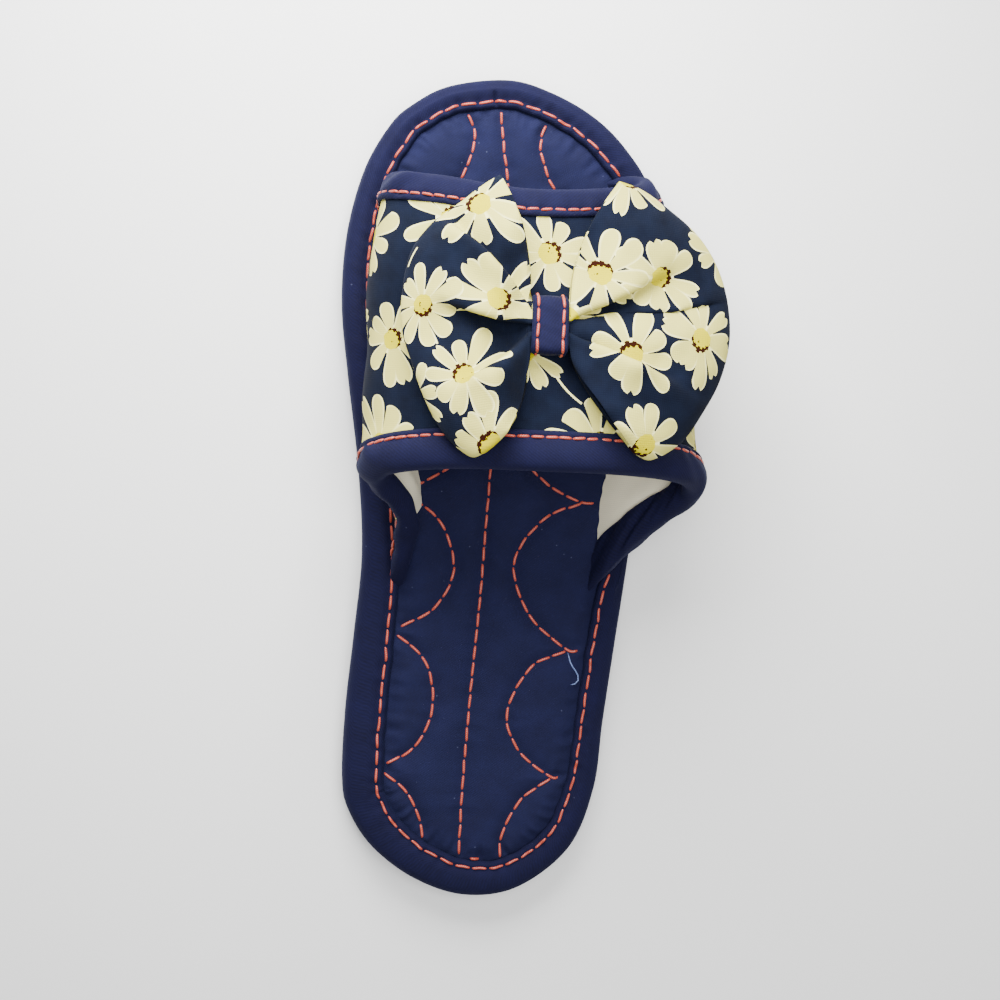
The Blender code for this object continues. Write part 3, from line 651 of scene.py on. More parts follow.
def daisy_group():
    """Which colour one printed daisy of radius 1 has, uneven by its seed: 0 outside it, 1 in its petals, up
    to nearly 2 where they are palest, 2 in its eye and 3 on the dark rim of the eye."""
    tree = bpy.data.node_groups.new("daisy", "ShaderNodeTree")
    for socket, kind in (("Place", "Vector"), ("Petals", "Float"), ("Seed", "Float")):
        tree.interface.new_socket(socket, in_out="INPUT", socket_type=f"NodeSocket{kind}")
    tree.interface.new_socket("Colour", in_out="OUTPUT", socket_type="NodeSocketFloat")
    given = add(tree, "NodeGroupInput")
    place, petals, seed = given["Place"], given["Petals"], given["Seed"]
    parts = add(tree, "ShaderNodeSeparateXYZ", place)
    angle = add(tree, "ARCTAN2", parts[1], parts[0])[0]
    radius = add(tree, "ShaderNodeVectorMath", place, operation="LENGTH")[1]
    pitch = add(tree, "DIVIDE", TURN, petals)[0]
    slots = add(tree, "DIVIDE", angle, pitch)[0]
    number = add(tree, "ROUND", slots)[0]
    which = add(tree, "ShaderNodeCombineXYZ", add(tree, "FLOORED_MODULO", number, petals)[0], seed)[0]
    chance = add(tree, "ShaderNodeTexWhiteNoise", which, noise_dimensions="2D")
    chances = add(tree, "ShaderNodeSeparateXYZ", chance[1])
    # Each petal leans, and has its own length and width
    lean = add(tree, "MULTIPLY_ADD", chances[0], 2 * PETAL_LEAN, -PETAL_LEAN)[0]
    off = add(tree, "MULTIPLY_ADD", add(tree, "SUBTRACT", slots, number)[0], pitch, lean)[0]
    length = add(tree, "MULTIPLY_ADD", chances[1], PETAL_LENGTH_MORE, PETAL_LENGTH)[0]
    width = add(tree, "MULTIPLY_ADD", chances[2], PETAL_WIDTH_MORE, PETAL_WIDTH)[0]
    out = add(tree, "MULTIPLY", radius, add(tree, "COSINE", off)[0])[0]
    aside = add(tree, "ABSOLUTE", add(tree, "MULTIPLY", radius, add(tree, "SINE", off)[0])[0])[0]
    # Some petals have a notch in the tip
    notched = add(tree, "MULTIPLY", add(tree, "GREATER_THAN", chance[0], NOTCHED_ABOVE)[0], NOTCH)[0]
    middle = add(tree, "MAXIMUM", add(tree, "MULTIPLY_ADD", aside, -NOTCH_STEEPNESS, 1.0)[0], 0.0)[0]
    reach = add(tree, "MULTIPLY_ADD", middle, notched, add(tree, "DIVIDE", out, length)[0])[0]
    reach = add(tree, "MAXIMUM", reach, 0.0)[0]
    tip = add(tree, "SUBTRACT", 1.0, add(tree, "POWER", reach, PETAL_TIP)[0])[0]
    tip = add(tree, "SQRT", add(tree, "MAXIMUM", tip, 0.0)[0])[0]
    half = add(tree, "MULTIPLY", add(tree, "POWER", reach, PETAL_FOOT)[0], tip)[0]
    half = add(tree, "MULTIPLY", half, width)[0]
    within = add(tree, "SUBTRACT", half, aside)[0]
    heart = add(tree, "LESS_THAN", radius, HEART)[0]
    petal = add(tree, "MAXIMUM", add(tree, "GREATER_THAN", within, 0.0)[0], heart)[0]
    outward = add(tree, "MULTIPLY_ADD", radius, PALE_OUTWARD, PALE_AT_HEART)[0]
    pale = add(tree, "MULTIPLY_ADD", within, -PALE_EDGE, outward, use_clamp=True)[0]
    level = add(tree, "MULTIPLY_ADD", pale, PALE_STRENGTH, PETAL_LEVEL)[0]
    colour = add(tree, "MULTIPLY", petal, level)[0]
    # The eye has a wavy edge, a dark crescent of dots round half of it, and specks inside
    noise = {"Vector": place, "Scale": EYE_WAVES, "W": seed}
    wobble = add(tree, "ShaderNodeTexNoise", noise, noise_dimensions="4D")[0]
    wavy = add(tree, "ADD", radius, add(tree, "MULTIPLY_ADD", wobble, 2 * EYE_WAVE, -EYE_WAVE)[0])[0]
    turned = add(tree, "SINE", add(tree, "ADD", angle, seed)[0])[0]
    crescent = add(tree, "MULTIPLY_ADD", turned, RIM, RIM_LEAST)[0]
    dots = add(tree, "SINE", add(tree, "MULTIPLY", angle, RIM_DOTS)[0])[0]
    dotted = add(tree, "GREATER_THAN", dots, DOT_ABOVE)[0]
    thick = add(tree, "MULTIPLY_ADD", dotted, 1 - DOT_LEAST, DOT_LEAST)[0]
    thick = add(tree, "MULTIPLY", crescent, thick)[0]
    rim = add(tree, "LESS_THAN", add(tree, "ABSOLUTE", add(tree, "SUBTRACT", wavy, EYE)[0])[0], thick)[0]
    inside = add(tree, "LESS_THAN", radius, SPECK_WITHIN)[0]
    speck = add(tree, "MULTIPLY", inside, add(tree, "GREATER_THAN", wobble, SPECK_ABOVE)[0])[0]
    eye = add(tree, "LESS_THAN", wavy, EYE)[0]
    colour = add(tree, "MAXIMUM", colour, add(tree, "MULTIPLY", eye, EYE_LEVEL)[0])[0]
    dark = add(tree, "MULTIPLY", add(tree, "MAXIMUM", rim, speck)[0], RIM_LEVEL)[0]
    add(tree, "NodeGroupOutput", add(tree, "MAXIMUM", colour, dark)[0])
    return tree


DAISY = daisy_group()


def printed_cotton(name, daisies, stems):
    """Plain-woven printed cotton: flat pigment daisies on a dark ground, a dull face and a fine square
    weave, drawn a little coarser than a real one so that it shows."""
    made, tree, shader, place = material(
        name, Roughness=0.9, Sheen_Weight=0.01, Sheen_Roughness=0.5, Specular_IOR_Level=0.07)
    weave = add(tree, "ADD", threads(tree, place, WEAVE, 0.0), threads(tree, place, WEAVE, math.pi / 2))[0]
    uneven = add(tree, "ShaderNodeTexNoise", {"Vector": place, "Scale": 1 / PRINT_PATCH, "Detail": 5.0})[0]
    printed = 0.0
    for x, y, radius, turn, sweep in stems:
        local = add(tree, "ShaderNodeMapping", {
            "Vector": place, "Location": (x, y, 0), "Rotation": (0, 0, math.radians(turn)),
            "Scale": (radius, radius, 1)}, vector_type="TEXTURE")[0]
        parts = add(tree, "ShaderNodeSeparateXYZ", local)
        angle = add(tree, "ABSOLUTE", add(tree, "ARCTAN2", parts[1], parts[0])[0])[0]
        far = add(tree, "ShaderNodeVectorMath", local, operation="LENGTH")[1]
        near = add(tree, "COMPARE", far, 1.0, STEM_HALF_WIDTH / radius)[0]
        stem = add(tree, "MULTIPLY", near, add(tree, "LESS_THAN", angle, math.radians(sweep))[0])[0]
        printed = add(tree, "MULTIPLY_ADD", stem, STEM_LEVEL, printed)[0]
    for x, y, radius, turn, petals, seed, cut_turn, cut_at in daisies:
        local = add(tree, "ShaderNodeMapping", {
            "Vector": place, "Location": (x, y, 0), "Rotation": (0, 0, math.radians(turn)),
            "Scale": (radius, radius, 1)}, vector_type="TEXTURE")[0]
        flower = add(tree, "ShaderNodeGroup", node_tree=DAISY)[0]
        tree.links.new(local, flower.node.inputs["Place"])
        flower.node.inputs["Petals"].default_value = petals
        flower.node.inputs["Seed"].default_value = seed
        if cut_at < 1:
            cut = math.radians(cut_turn - turn)
            way = (math.cos(cut), math.sin(cut), 0)
            out = add(tree, "ShaderNodeVectorMath", local, way, operation="DOT_PRODUCT")[1]
            flower = add(tree, "MULTIPLY", flower, add(tree, "LESS_THAN", out, cut_at)[0])[0]
        bare = add(tree, "LESS_THAN", flower, PETAL_FROM)[0]
        printed = add(tree, "MULTIPLY_ADD", printed, bare, flower)[0]
    tone = add(tree, "MULTIPLY_ADD", uneven, GROUND_PATCH, GROUND_SHIFT)[0]
    tone = add(tree, "MULTIPLY_ADD", weave, GROUND_WEAVE, tone)[0]
    dyes = {0: tone, 6: linear(GROUND_DARK), 7: linear(GROUND_LIGHT)}
    ground = add(tree, "ShaderNodeMix", dyes, data_type="RGBA")[2]
    tone = add(tree, "MULTIPLY_ADD", weave, CREAM_WEAVE, uneven)[0]
    dyes = {0: tone, 6: linear(CREAM_DARK), 7: linear(CREAM_LIGHT)}
    pale = add(tree, "ShaderNodeMix", dyes, data_type="RGBA")[2]
    share = add(tree, "SUBTRACT", printed, PETAL_LEVEL, use_clamp=True)[0]
    petal = add(tree, "ShaderNodeMix", {0: share, 6: linear(CREAM_DEEP), 7: pale}, data_type="RGBA")[2]
    colour = ground
    paints = ((PETAL_FROM, petal), (EYE_FROM, linear(EYE_YELLOW)), (RIM_FROM, linear(EYE_BROWN)))
    for level, paint in paints:
        share = add(tree, "GREATER_THAN", printed, level)[0]
        colour = add(tree, "ShaderNodeMix", {0: share, 6: colour, 7: paint}, data_type="RGBA")[2]
    finish_surface(tree, shader, colour, weave, YARN_DEPTH)
    return made


def plain_cloth(name, dark, light):
    """Plain-woven cotton, undyed: a flat matte face with slightly uneven yarns."""
    made, tree, shader, place = material(
        name, Roughness=0.9, Sheen_Weight=0.1, Sheen_Roughness=0.6, Specular_IOR_Level=0.2)
    weave = add(tree, "ADD", threads(tree, place, WEAVE, 0.0), threads(tree, place, WEAVE, math.pi / 2))[0]
    uneven = add(tree, "ShaderNodeTexNoise", {"Vector": place, "Scale": 1 / LINING_PATCH, "Detail": 4.0})[0]
    tone = add(tree, "MULTIPLY_ADD", weave, LINING_WEAVE, uneven)[0]
    colour = add(tree, "ShaderNodeMix", {0: tone, 6: linear(dark), 7: linear(light)}, data_type="RGBA")[2]
    finish_surface(tree, shader, colour, weave, YARN_DEPTH)
    return made


def sewing_thread(name, dark, light):
    """Twisted polyester sewing thread: a bright strand with a slight gloss. Its colour is darker in the
    valleys between its plies, which is painted shade, and it varies a little at random.
    """
    made, tree, shader, place = material(name, Roughness=0.35, Sheen_Weight=0.05, Specular_IOR_Level=0.6)
    plies_and_valley_shade = threads(tree, place, THREAD_PLY, PLY_TURN)
    uneven = add(tree, "ShaderNodeTexNoise", {"Vector": place, "Scale": 1 / THREAD_PATCH, "Detail": 2.0})[0]
    # The ply wave that bumps the thread also darkens its colour in the valleys between plies: painted shade
    # in those recesses.
    tone = add(tree, "MULTIPLY_ADD", plies_and_valley_shade, 0.5, add(tree, "MULTIPLY", uneven, 0.5)[0])[0]
    colour = add(tree, "ShaderNodeMix", {0: tone, 6: linear(dark), 7: linear(light)}, data_type="RGBA")[2]
    finish_surface(tree, shader, colour, plies_and_valley_shade, PLY_DEPTH)
    return made


def rubber_sheet(name, dark, light):
    """Textured rubber sheet: dark, matte, with a fine pebbled grain."""
    made, tree, shader, place = material(name, Roughness=0.75, Specular_IOR_Level=0.4)
    grain = add(tree, "ShaderNodeTexVoronoi", {"Vector": place, "Scale": 1 / PEBBLE})[0]
    uneven = add(tree, "ShaderNodeTexNoise", {"Vector": place, "Scale": 1 / RUBBER_PATCH, "Detail": 4.0})[0]
    colour = add(tree, "ShaderNodeMix", {0: uneven, 6: linear(dark), 7: linear(light)}, data_type="RGBA")[2]
    finish_surface(tree, shader, colour, grain, PEBBLE_DEPTH)
    return made


VAMP_DAISIES = (
    # along from the crown, y, radius, turn, petals, seed, which way it is cut off, how many radii out
    (60.0, 47.0, 12.0, 200, 9, 9.2, 0, 2),
    (60.0, 78.0, 11.5, 30, 10, 10.6, 0, 2),
    (-66.0, 50.0, 11.5, 300, 10, 11.9, 0, 2),
    (-62.0, 2.0, 11.5, 140, 9, 12.4, 0, 2),
    (70.0, -4.0, 11.5, 40, 9, 13.7, 0, 2),
    (78.0, 30.0, 11.0, 70, 9, 18.1, 0, 2),
    (36.0, 62.0, 12.0, 100, 10, 15.2, 0, 2),
    (26.0, 86.0, 11.0, 260, 9, 16.8, 0, 2),
    (-21.0, 32.0, 11.5, 330, 9, 17.3, 0, 2),
    (36.0, 33.0, 11.5, 10, 9, 20.7, 0, 2),
    (57.0, 18.0, 11.5, 120, 9, 7.4, 0, 2),
    (-23.2, 78.2, 14.0, 80, 9, 14.5, 0, 2),
    (-4.0, 41.5, 11.5, 300, 9, 4.2, 0, 2),
    (16.0, 17.5, 14.5, 130, 9, 3.7, 0, 2),
    (-47.0, 13.5, 15.5, 95, 10, 5.5, 0, 2),
    (-54.0, 74.0, 15.5, 10, 10, 6.1, 0, 2),
    (-43.0, 43.5, 13.0, 60, 9, 2.1, 0, 2),
    (3.5, 70.0, 13.5, 20, 10, 1.3, 0, 2),
)
VAMP_STEMS = (
    # along from the crown, y of the arc's middle, radius, where its middle points, half its sweep
    (26.0, 50.0, 26.0, 222, 14),
    (52.0, 62.0, 22.0, 20, 16),
)
BOW_DAISIES = (
    # x, y, radius, turn, petals, seed, which way it is cut off, how many radii out
    (-31.0, 25.0, 11.0, 60, 9, 34.8, 0, 2),
    (31.6, 95.2, 13.4, 252, 11, 31.6, 0, 2),
    (63.6, 77.2, 15.0, 215, 9, 32.3, 0, 2),
    (14.3, 52.4, 13.5, 30, 9, 35.3, 270, 0.05),
    (-6.2, 13.6, 13.0, 90, 9, 25.9, 0, 2),
    (36.9, 17.0, 13.5, 80, 8, 30.2, 0, 2),
    (-13.6, 32.8, 13.0, 20, 9, 24.6, 0, 2),
    (-5.8, 56.3, 13.5, 140, 9, 23.2, 270, 0.4),
    (-11.9, 83.3, 14.5, 200, 9, 21.3, 0, 2),
    (-26.6, 52.5, 13.0, 60, 10, 22.7, 0, 2),
    (40.0, 66.8, 14.0, 30, 9, 27.1, 275, 0.75),
    (22.6, 67.4, 14.0, 75, 9, 26.4, 0, 2),
    (32.0, 41.4, 13.5, 270, 9, 29.5, 0, 2),
    (53.0, 47.9, 14.0, 10, 11, 28.8, 0, 2),
)
BOW_STEMS = (
    # x, y of the arc's middle, radius, where its middle points, half its sweep
    (-14.0, 58.0, 20.0, 152, 9),
    (-40.0, 34.0, 20.0, 30, 8),
)

NAVY_TAPE = twill("navy_cotton_twill_tape", "#070716", "#15163D", 0.7)
NAVY_FOOTBED = twill("navy_cotton_twill_footbed", "#0A0B1C", "#1D2047", 0.6)
PRINT_VAMP = printed_cotton("daisy_print_cotton_vamp", VAMP_DAISIES, VAMP_STEMS)
PRINT_BOW = printed_cotton("daisy_print_cotton_bow", BOW_DAISIES, BOW_STEMS)
LINING = plain_cloth("undyed_cotton_lining", "#CCC5AC", "#EAE3C9")
# Each thread's dark tone is laid into the valleys between its plies as painted shade.
CORAL = sewing_thread("coral_polyester_thread", "#7A1A0C", "#CE5A40")
PALE_THREAD = sewing_thread("pale_blue_polyester_thread", "#405288", "#7F93C4")
RUBBER = rubber_sheet("pebbled_rubber_sheet", "#23252B", "#34363D")


def outsole():
    """Plain sheet under the foot."""
    rings = np.stack([sole_ring(*row) for row in OUTSOLE_RIM])
    uv = np.concatenate([rings, rings[:, :1]], 1)[:, :, :2]
    show(loft("outsole_sheet", rings, uv, [RUBBER]), "outsole", "outsole")


STATIONS = np.arange(TAPE_STATIONS) / TAPE_STATIONS
ROUND = STATIONS * GIRTH
LIP = smooth(TAPE_LIP, STATIONS, 1) + LIP_WAVE * ripple(ROUND, GIRTH / np.array(LIP_WAVES_ROUND), seed=2)
SEAM_PITCH_ROUND = GIRTH / round(GIRTH / STITCH_PITCH)


def tape_height(inset, round_place, height):
    """The tape's top pulled into puckers along its seam."""
    from_seam = inset - (np.interp(round_place, ROUND, LIP) - TAPE_SEAM_FROM_LIP)
    stitch = np.cos(TURN * round_place / SEAM_PITCH_ROUND) * np.exp(-((from_seam / TAPE_DIP_REACH) ** 2))
    slanted = round_place + TAPE_PUCKER_SLANT * from_seam
    pucker = ripple(slanted, GIRTH / np.array(TAPE_PUCKERS_ROUND), seed=3)
    pucker = pucker * np.exp(-np.abs(from_seam) / TAPE_PUCKER_REACH)
    swell = ripple(round_place, GIRTH / np.array(TAPE_SWELLS_ROUND), seed=4)
    join = np.exp(-(((round_place - TAPE_JOIN - TAPE_JOIN_SLANT * inset) / TAPE_JOIN_WIDTH) ** 2))
    join = join * ease(inset, *TAPE_JOIN_STARTS) * (1 - ease(inset, *TAPE_JOIN_ENDS))
    return height - TAPE_DIP * stitch + TAPE_PUCKER * pucker + TAPE_SWELL * swell - TAPE_JOIN_DEPTH * join


def tape_cloth(place, section):
    """The place on a tape's cloth: how far along it, and how far round its folded section."""
    steps = np.linalg.norm(np.diff(section, axis=0), axis=1)
    width = np.concatenate([[0], np.cumsum(steps), [steps.sum() + 1]])
    return np.stack(np.broadcast_arrays(place[:, None], width[None, :]), -1)


def sole_tape():
    """Tape folded round the whole edge of the sole, and its row of stitches."""
    top = [(LIP - out, height) for out, height in TAPE_TOP]
    edge = [(np.full(TAPE_STATIONS, inset), height) for inset, height in TAPE_EDGE]
    back = [(np.full(TAPE_STATIONS, inset), height) for inset, height in TAPE_BACK]
    rows = top + edge + back
    control = np.stack([np.stack([inset, np.full(TAPE_STATIONS, height)], 1) for inset, height in rows])
    section = spline(control.reshape(len(rows), -1), 2, closed=True).reshape(-1, TAPE_STATIONS, 2)
    rings = []
    for inset, height in section.transpose(0, 2, 1):
        raised = np.where(height > TAPE_PUCKERED_ABOVE, tape_height(inset, ROUND, height), height)
        rings.append(sole_ring(inset, raised))
    rings = np.stack(rings, 1)
    uv = tape_cloth(np.append(ROUND, GIRTH), section[:, 0])
    tape = show(loft("sole_edge_tape", rings, uv, [NAVY_TAPE], joined=True), "sole_binding", "sole_binding")
    inset = LIP - TAPE_SEAM_FROM_LIP
    path = sole_ring(inset, tape_height(inset, ROUND, TAPE_SEAM_HEIGHT))
    path = np.concatenate([path, path[:1]])
    ups = np.zeros_like(path) + UP
    stitches = show(seam("sole_edge_stitches", [(path, ups, SEAM_PITCH_ROUND)], CORAL), "sole_binding")


def evenly(line):
    """Points at even steps along the curve through these places."""
    curve = spline(line, 24)
    return along(curve, np.arange(0, path_lengths(curve)[-1], QUILT_STEP))


def search_tree(points):
    """Finds the nearest of these points in plan."""
    tree = kdtree.KDTree(len(points))
    for number, (x, y) in enumerate(points):
        tree.insert((x, y, 0), number)
    tree.balance()
    return tree


QUILT = [evenly(line) for line in QUILT_LINES]
QUILT_ALONG = np.concatenate([path_lengths(curve) for curve in QUILT])
QUILT_TREE = search_tree(np.concatenate(QUILT))
OUTLINE_TREE = search_tree(OUTLINE)


def footbed_height(x, y):
    """Top of the quilted pad, drawn down along the sewn lines and puckered beside them."""
    flat_x, flat_y = np.ravel(x), np.ravel(y)
    inset, station, off, place = (np.empty(len(flat_x)) for _ in range(4))
    for i, (px, py) in enumerate(zip(flat_x, flat_y)):
        _, station[i], inset[i] = OUTLINE_TREE.find((px, py, 0))
        _, nearest, off[i] = QUILT_TREE.find((px, py, 0))
        place[i] = QUILT_ALONG[nearest]
    round_place = station / TAPE_STATIONS * GIRTH
    in_from_lip = inset - np.interp(round_place, ROUND, LIP)
    rise = 1 - np.exp(-np.maximum(in_from_lip, 0) / PAD_RISE_WITHIN)
    height = RIM_HEIGHT + (GROOVE_HEIGHT - RIM_HEIGHT) * ease(inset, INSOLE_RIM, RIM_WITHIN)
    height = height + PAD_RISE * rise + spring(flat_y)
    padded = ease(in_from_lip, 0.0, PAD_WITHIN)
    channel = np.exp(-((off / QUILT_WIDTH) ** QUILT_EDGE))
    puff = QUILT_PUFF * (1 - np.exp(-off / QUILT_PUFF_REACH))
    beside = np.exp(-off / QUILT_PUCKER_REACH) * (1 - np.exp(-off / QUILT_PUCKER_FROM))
    pucker = QUILT_PUCKER * ripple(place, QUILT_PUCKERS, seed=5) * beside
    soft = PAD_UNEVEN * unevenness(flat_x, flat_y, PAD_UNEVEN_SIZE, seed=6)
    height += padded * (puff - QUILT_DEPTH * channel + pucker + soft)
    at_edge = ease(in_from_lip, *EDGE_PUCKER_FROM) * (1 - ease(in_from_lip, *EDGE_PUCKER_TO))
    height += EDGE_PUCKER * ripple(round_place, EDGE_PUCKERS, seed=8) * at_edge
    return height.reshape(np.shape(x))


def footbed():
    """Padded footbed, quilted, with its rim under the tape, and its rows of stitches."""
    rim = sole_ring(INSOLE_RIM, 0)
    low, high = int(rim[:, 1].argmin()), int(rim[:, 1].argmax())
    rim = np.roll(rim, -high, 0)
    low = (low - high) % TAPE_STATIONS
    outer, arch = rim[:low + 1][::-1], rim[low:]
    turn = np.linspace(-math.pi / 2, math.pi / 2, INSOLE_ROWS)
    middle, half = (rim[:, 1].max() + rim[:, 1].min()) / 2, np.ptp(rim[:, 1]) / 2 - RIM_END
    even = np.linspace(-1, 1, INSOLE_ROWS)
    y = middle + half * (EVEN_ROWS * even + (1 - EVEN_ROWS) * np.sin(turn))
    left, right = np.interp(y, arch[:, 1], arch[:, 0]), np.interp(y, outer[:, 1], outer[:, 0])
    part = np.linspace(0, 1, INSOLE_COLUMNS)
    x = left[:, None] + (right - left)[:, None] * part
    y = np.broadcast_to(y[:, None], x.shape)
    top = np.stack([x, y, footbed_height(x, y)], 2)
    bottom = np.stack([x, y, INSOLE_BOTTOM + spring(y)], 2)[:, ::-1]
    rings = np.concatenate([top, bottom], 1)
    uv = np.concatenate([rings, rings[:, :1]], 1)[:, :, :2]
    pad = show(loft("quilted_footbed", rings, uv, [NAVY_FOOTBED]), "insole", "insole")
    rows = []
    for curve in QUILT:
        found = [OUTLINE_TREE.find((px, py, 0)) for px, py in curve]
        kept = curve[[inset > LIP[station] + QUILT_FROM_LIP for _, station, inset in found]]
        path = np.column_stack([kept, footbed_height(*kept.T)])
        pitch = TOE_QUILT_PITCH if path[0, 1] > VAMP_MIDDLE else QUILT_PITCH
        rows.append((path, np.zeros_like(path) + UP, pitch))
    show(seam("quilting_stitches", rows, CORAL), "insole")
    curl = spline(FIBRE, 8)
    path = np.column_stack([curl, footbed_height(*curl.T)])
    ups = np.zeros_like(path) + UP
    show(seam("stray_fibre", [(path, ups, path_lengths(path)[-1])], PALE_THREAD, FIBRE_RADIUS), "insole")


def vamp():
    """Printed vamp band with its undyed lining, a hollow wall from foot to foot."""
    across = np.linspace(-1, 1, VAMP_COLUMNS)
    share = np.linspace(0, 1, VAMP_ROWS)
    grid_across, grid_share = np.meshgrid(across, share, indexing="ij")
    point, normal, _ = band_frame(grid_across, grid_share)
    cloth = band(grid_across, grid_share)[1]
    shape = grid_across.shape
    point, normal, cloth = point.reshape(*shape, 3), normal.reshape(*shape, 3), cloth.reshape(shape)
    free = ease(grid_share, *FREE_FROM_TOE) * (1 - ease(grid_share, *FREE_TO_COLLAR))
    free = free * (1 - ease(np.abs(grid_across), *FREE_TO_FOOT))
    soft = VAMP_UNEVEN * unevenness(cloth, point[..., 1], VAMP_UNEVEN_SIZE, seed=9) * free
    crease = LINING_CREASE * unevenness(cloth, point[..., 1], LINING_CREASE_SIZE, seed=10) * free
    sunk = TAPE_END_DEPTH * ease(np.abs(grid_across), 1 - TAPE_TAPER, 1.0) ** 2
    point = point - sunk[..., None] * UP
    outside = point + normal * (WALL / 2 + soft)[..., None]
    inside = point - normal * (WALL / 2 + crease)[..., None]
    slack = ease(grid_share, *SLACK_FROM_TOE) * (1 - ease(grid_share, *SLACK_TO_COLLAR))
    slack = slack * ease(-grid_across, *SLACK_ACROSS)
    inside = inside + LINING_SLACK * slack[..., None] * (1, 0, 0)
    rings = np.concatenate([outside, inside[:, ::-1]], 1)
    flat = np.stack([cloth, point[..., 1]], 2)
    flat = np.concatenate([flat, flat[:, ::-1], flat[:, :1]], 1)
    piece = loft("printed_vamp", rings, flat, [PRINT_VAMP, LINING])
    count = rings.shape[1]
    column = np.tile(np.arange(count), VAMP_COLUMNS - 1)
    lined = (column >= VAMP_ROWS - 1).astype(np.int32)
    slots = np.zeros(len(piece.data.polygons), np.int32)
    slots[:len(lined)] = lined
    piece.data.polygons.foreach_set("material_index", slots)
    show(piece, "upper", "upper")


def band_tape(name, edge, rows, seam_inward, node):
    """Tape folded over one edge of the vamp, from foot to foot, and its row of stitches."""
    across = np.linspace(TAPE_FOOT_CLEARANCE - 1, 1 - TAPE_FOOT_CLEARANCE, BAND_TAPE_STATIONS)
    section = spline(rows, 3, closed=True)
    edge_line = band(across, np.full_like(across, edge))[0]
    place = path_lengths(edge_line)
    end = ease(np.abs(across), 1 - TAPE_TAPER, 1.0)
    bent = ease(np.abs(across), *BAND_BEND)
    wider = ARM_SPREAD * ease(across, *ARM_SPREAD_ACROSS) * edge
    swell = BAND_SWELL * ripple(place, BAND_SWELLS, seed=edge + 30)
    rings = []
    for inward, off in section:
        from_seam = inward - seam_inward
        dip = BAND_DIP * np.exp(-((from_seam / BAND_DIP_REACH) ** 2)) * np.cos(TURN * place / BAND_PITCH)
        pucker = ripple(place + BAND_PUCKER_SLANT * from_seam, BAND_PUCKERS, seed=edge + 20)
        pucker = BAND_PUCKER * pucker * math.exp(-abs(from_seam) / BAND_PUCKER_REACH)
        wrinkle = ripple(place + BAND_WRINKLE_SLANT * inward, BAND_WRINKLES, seed=edge + 40)
        face = math.copysign(1, off) * ease(abs(off), *BAND_FACE)
        lifted = off + face * (pucker + swell - dip + BAND_WRINKLE * wrinkle * bent)
        reach = inward * (1 + wider * (off < 0) - TOE_END_NARROWING * end * (1 - edge))
        points = taped(across, edge, reach, lifted * (1 - TAPE_END_THINNING * end))
        rings.append(points - end[:, None] ** 2 * (0, 0, TAPE_END_DEPTH))
    rings = np.stack(rings, 1)
    tape = show(loft(name, rings, tape_cloth(place, section), [NAVY_TAPE]), node, node)
    path = taped(across, edge, np.full_like(across, seam_inward), rows[SEAM_TROUGH][1])
    ups = band_frame(across, np.full_like(across, edge))[1]
    stitches = show(seam(f"{name}_stitches", [(path, ups, BAND_PITCH)], CORAL), node)


def pleats(side, spread, across):
    """How far pleats shift the top of a loop across and raise it, and how much print they hide."""
    half_width = PINCH_HALF_WIDTH + (SPREAD_HALF_WIDTH - PINCH_HALF_WIDTH) * spread
    shift, raised, hidden = 0 * across, 0 * across, 0 * across
    for loop, place, end, over, lap, height, width in PLEATS:
        strength = PLEAT_AT_STRAP + (1 - PLEAT_AT_STRAP) * ease(spread, 0.0, PLEAT_FULL_BY)
        strength = strength * (1 - ease(spread, PLEAT_FADES_FROM * end, end)) * (side == loop)
        narrow = (1 - PLEAT_WIDTH_AT_STRAP) * (1 - ease(spread, 0.0, PLEAT_WIDE_BY))
        reach = (across - place) * half_width / (width * (1 - narrow))
        fold = reach * np.exp(-(reach**2)) / FOLD_PEAK
        shift = shift - strength * lap * fold
        raised = raised + strength * height * over * fold
        hidden = hidden + strength * PRINT_JUMP * lap * np.tanh(PRINT_JUMP_STEEPNESS * reach)
    return shift, raised, hidden


def dents(x, y):
    """Depth of the listed creases in the tops of the loops."""
    depth = 0 * x
    for x0, y0, x1, y1, width, deep in DENTS:
        run = np.array([x1 - x0, y1 - y0])
        t = np.clip(((x - x0) * run[0] + (y - y0) * run[1]) / (run @ run), 0, 1)
        off = np.hypot(x - x0 - t * run[0], y - y0 - t * run[1])
        depth = depth + deep * np.exp(-((off / width) ** DENT_EDGE))
    return depth


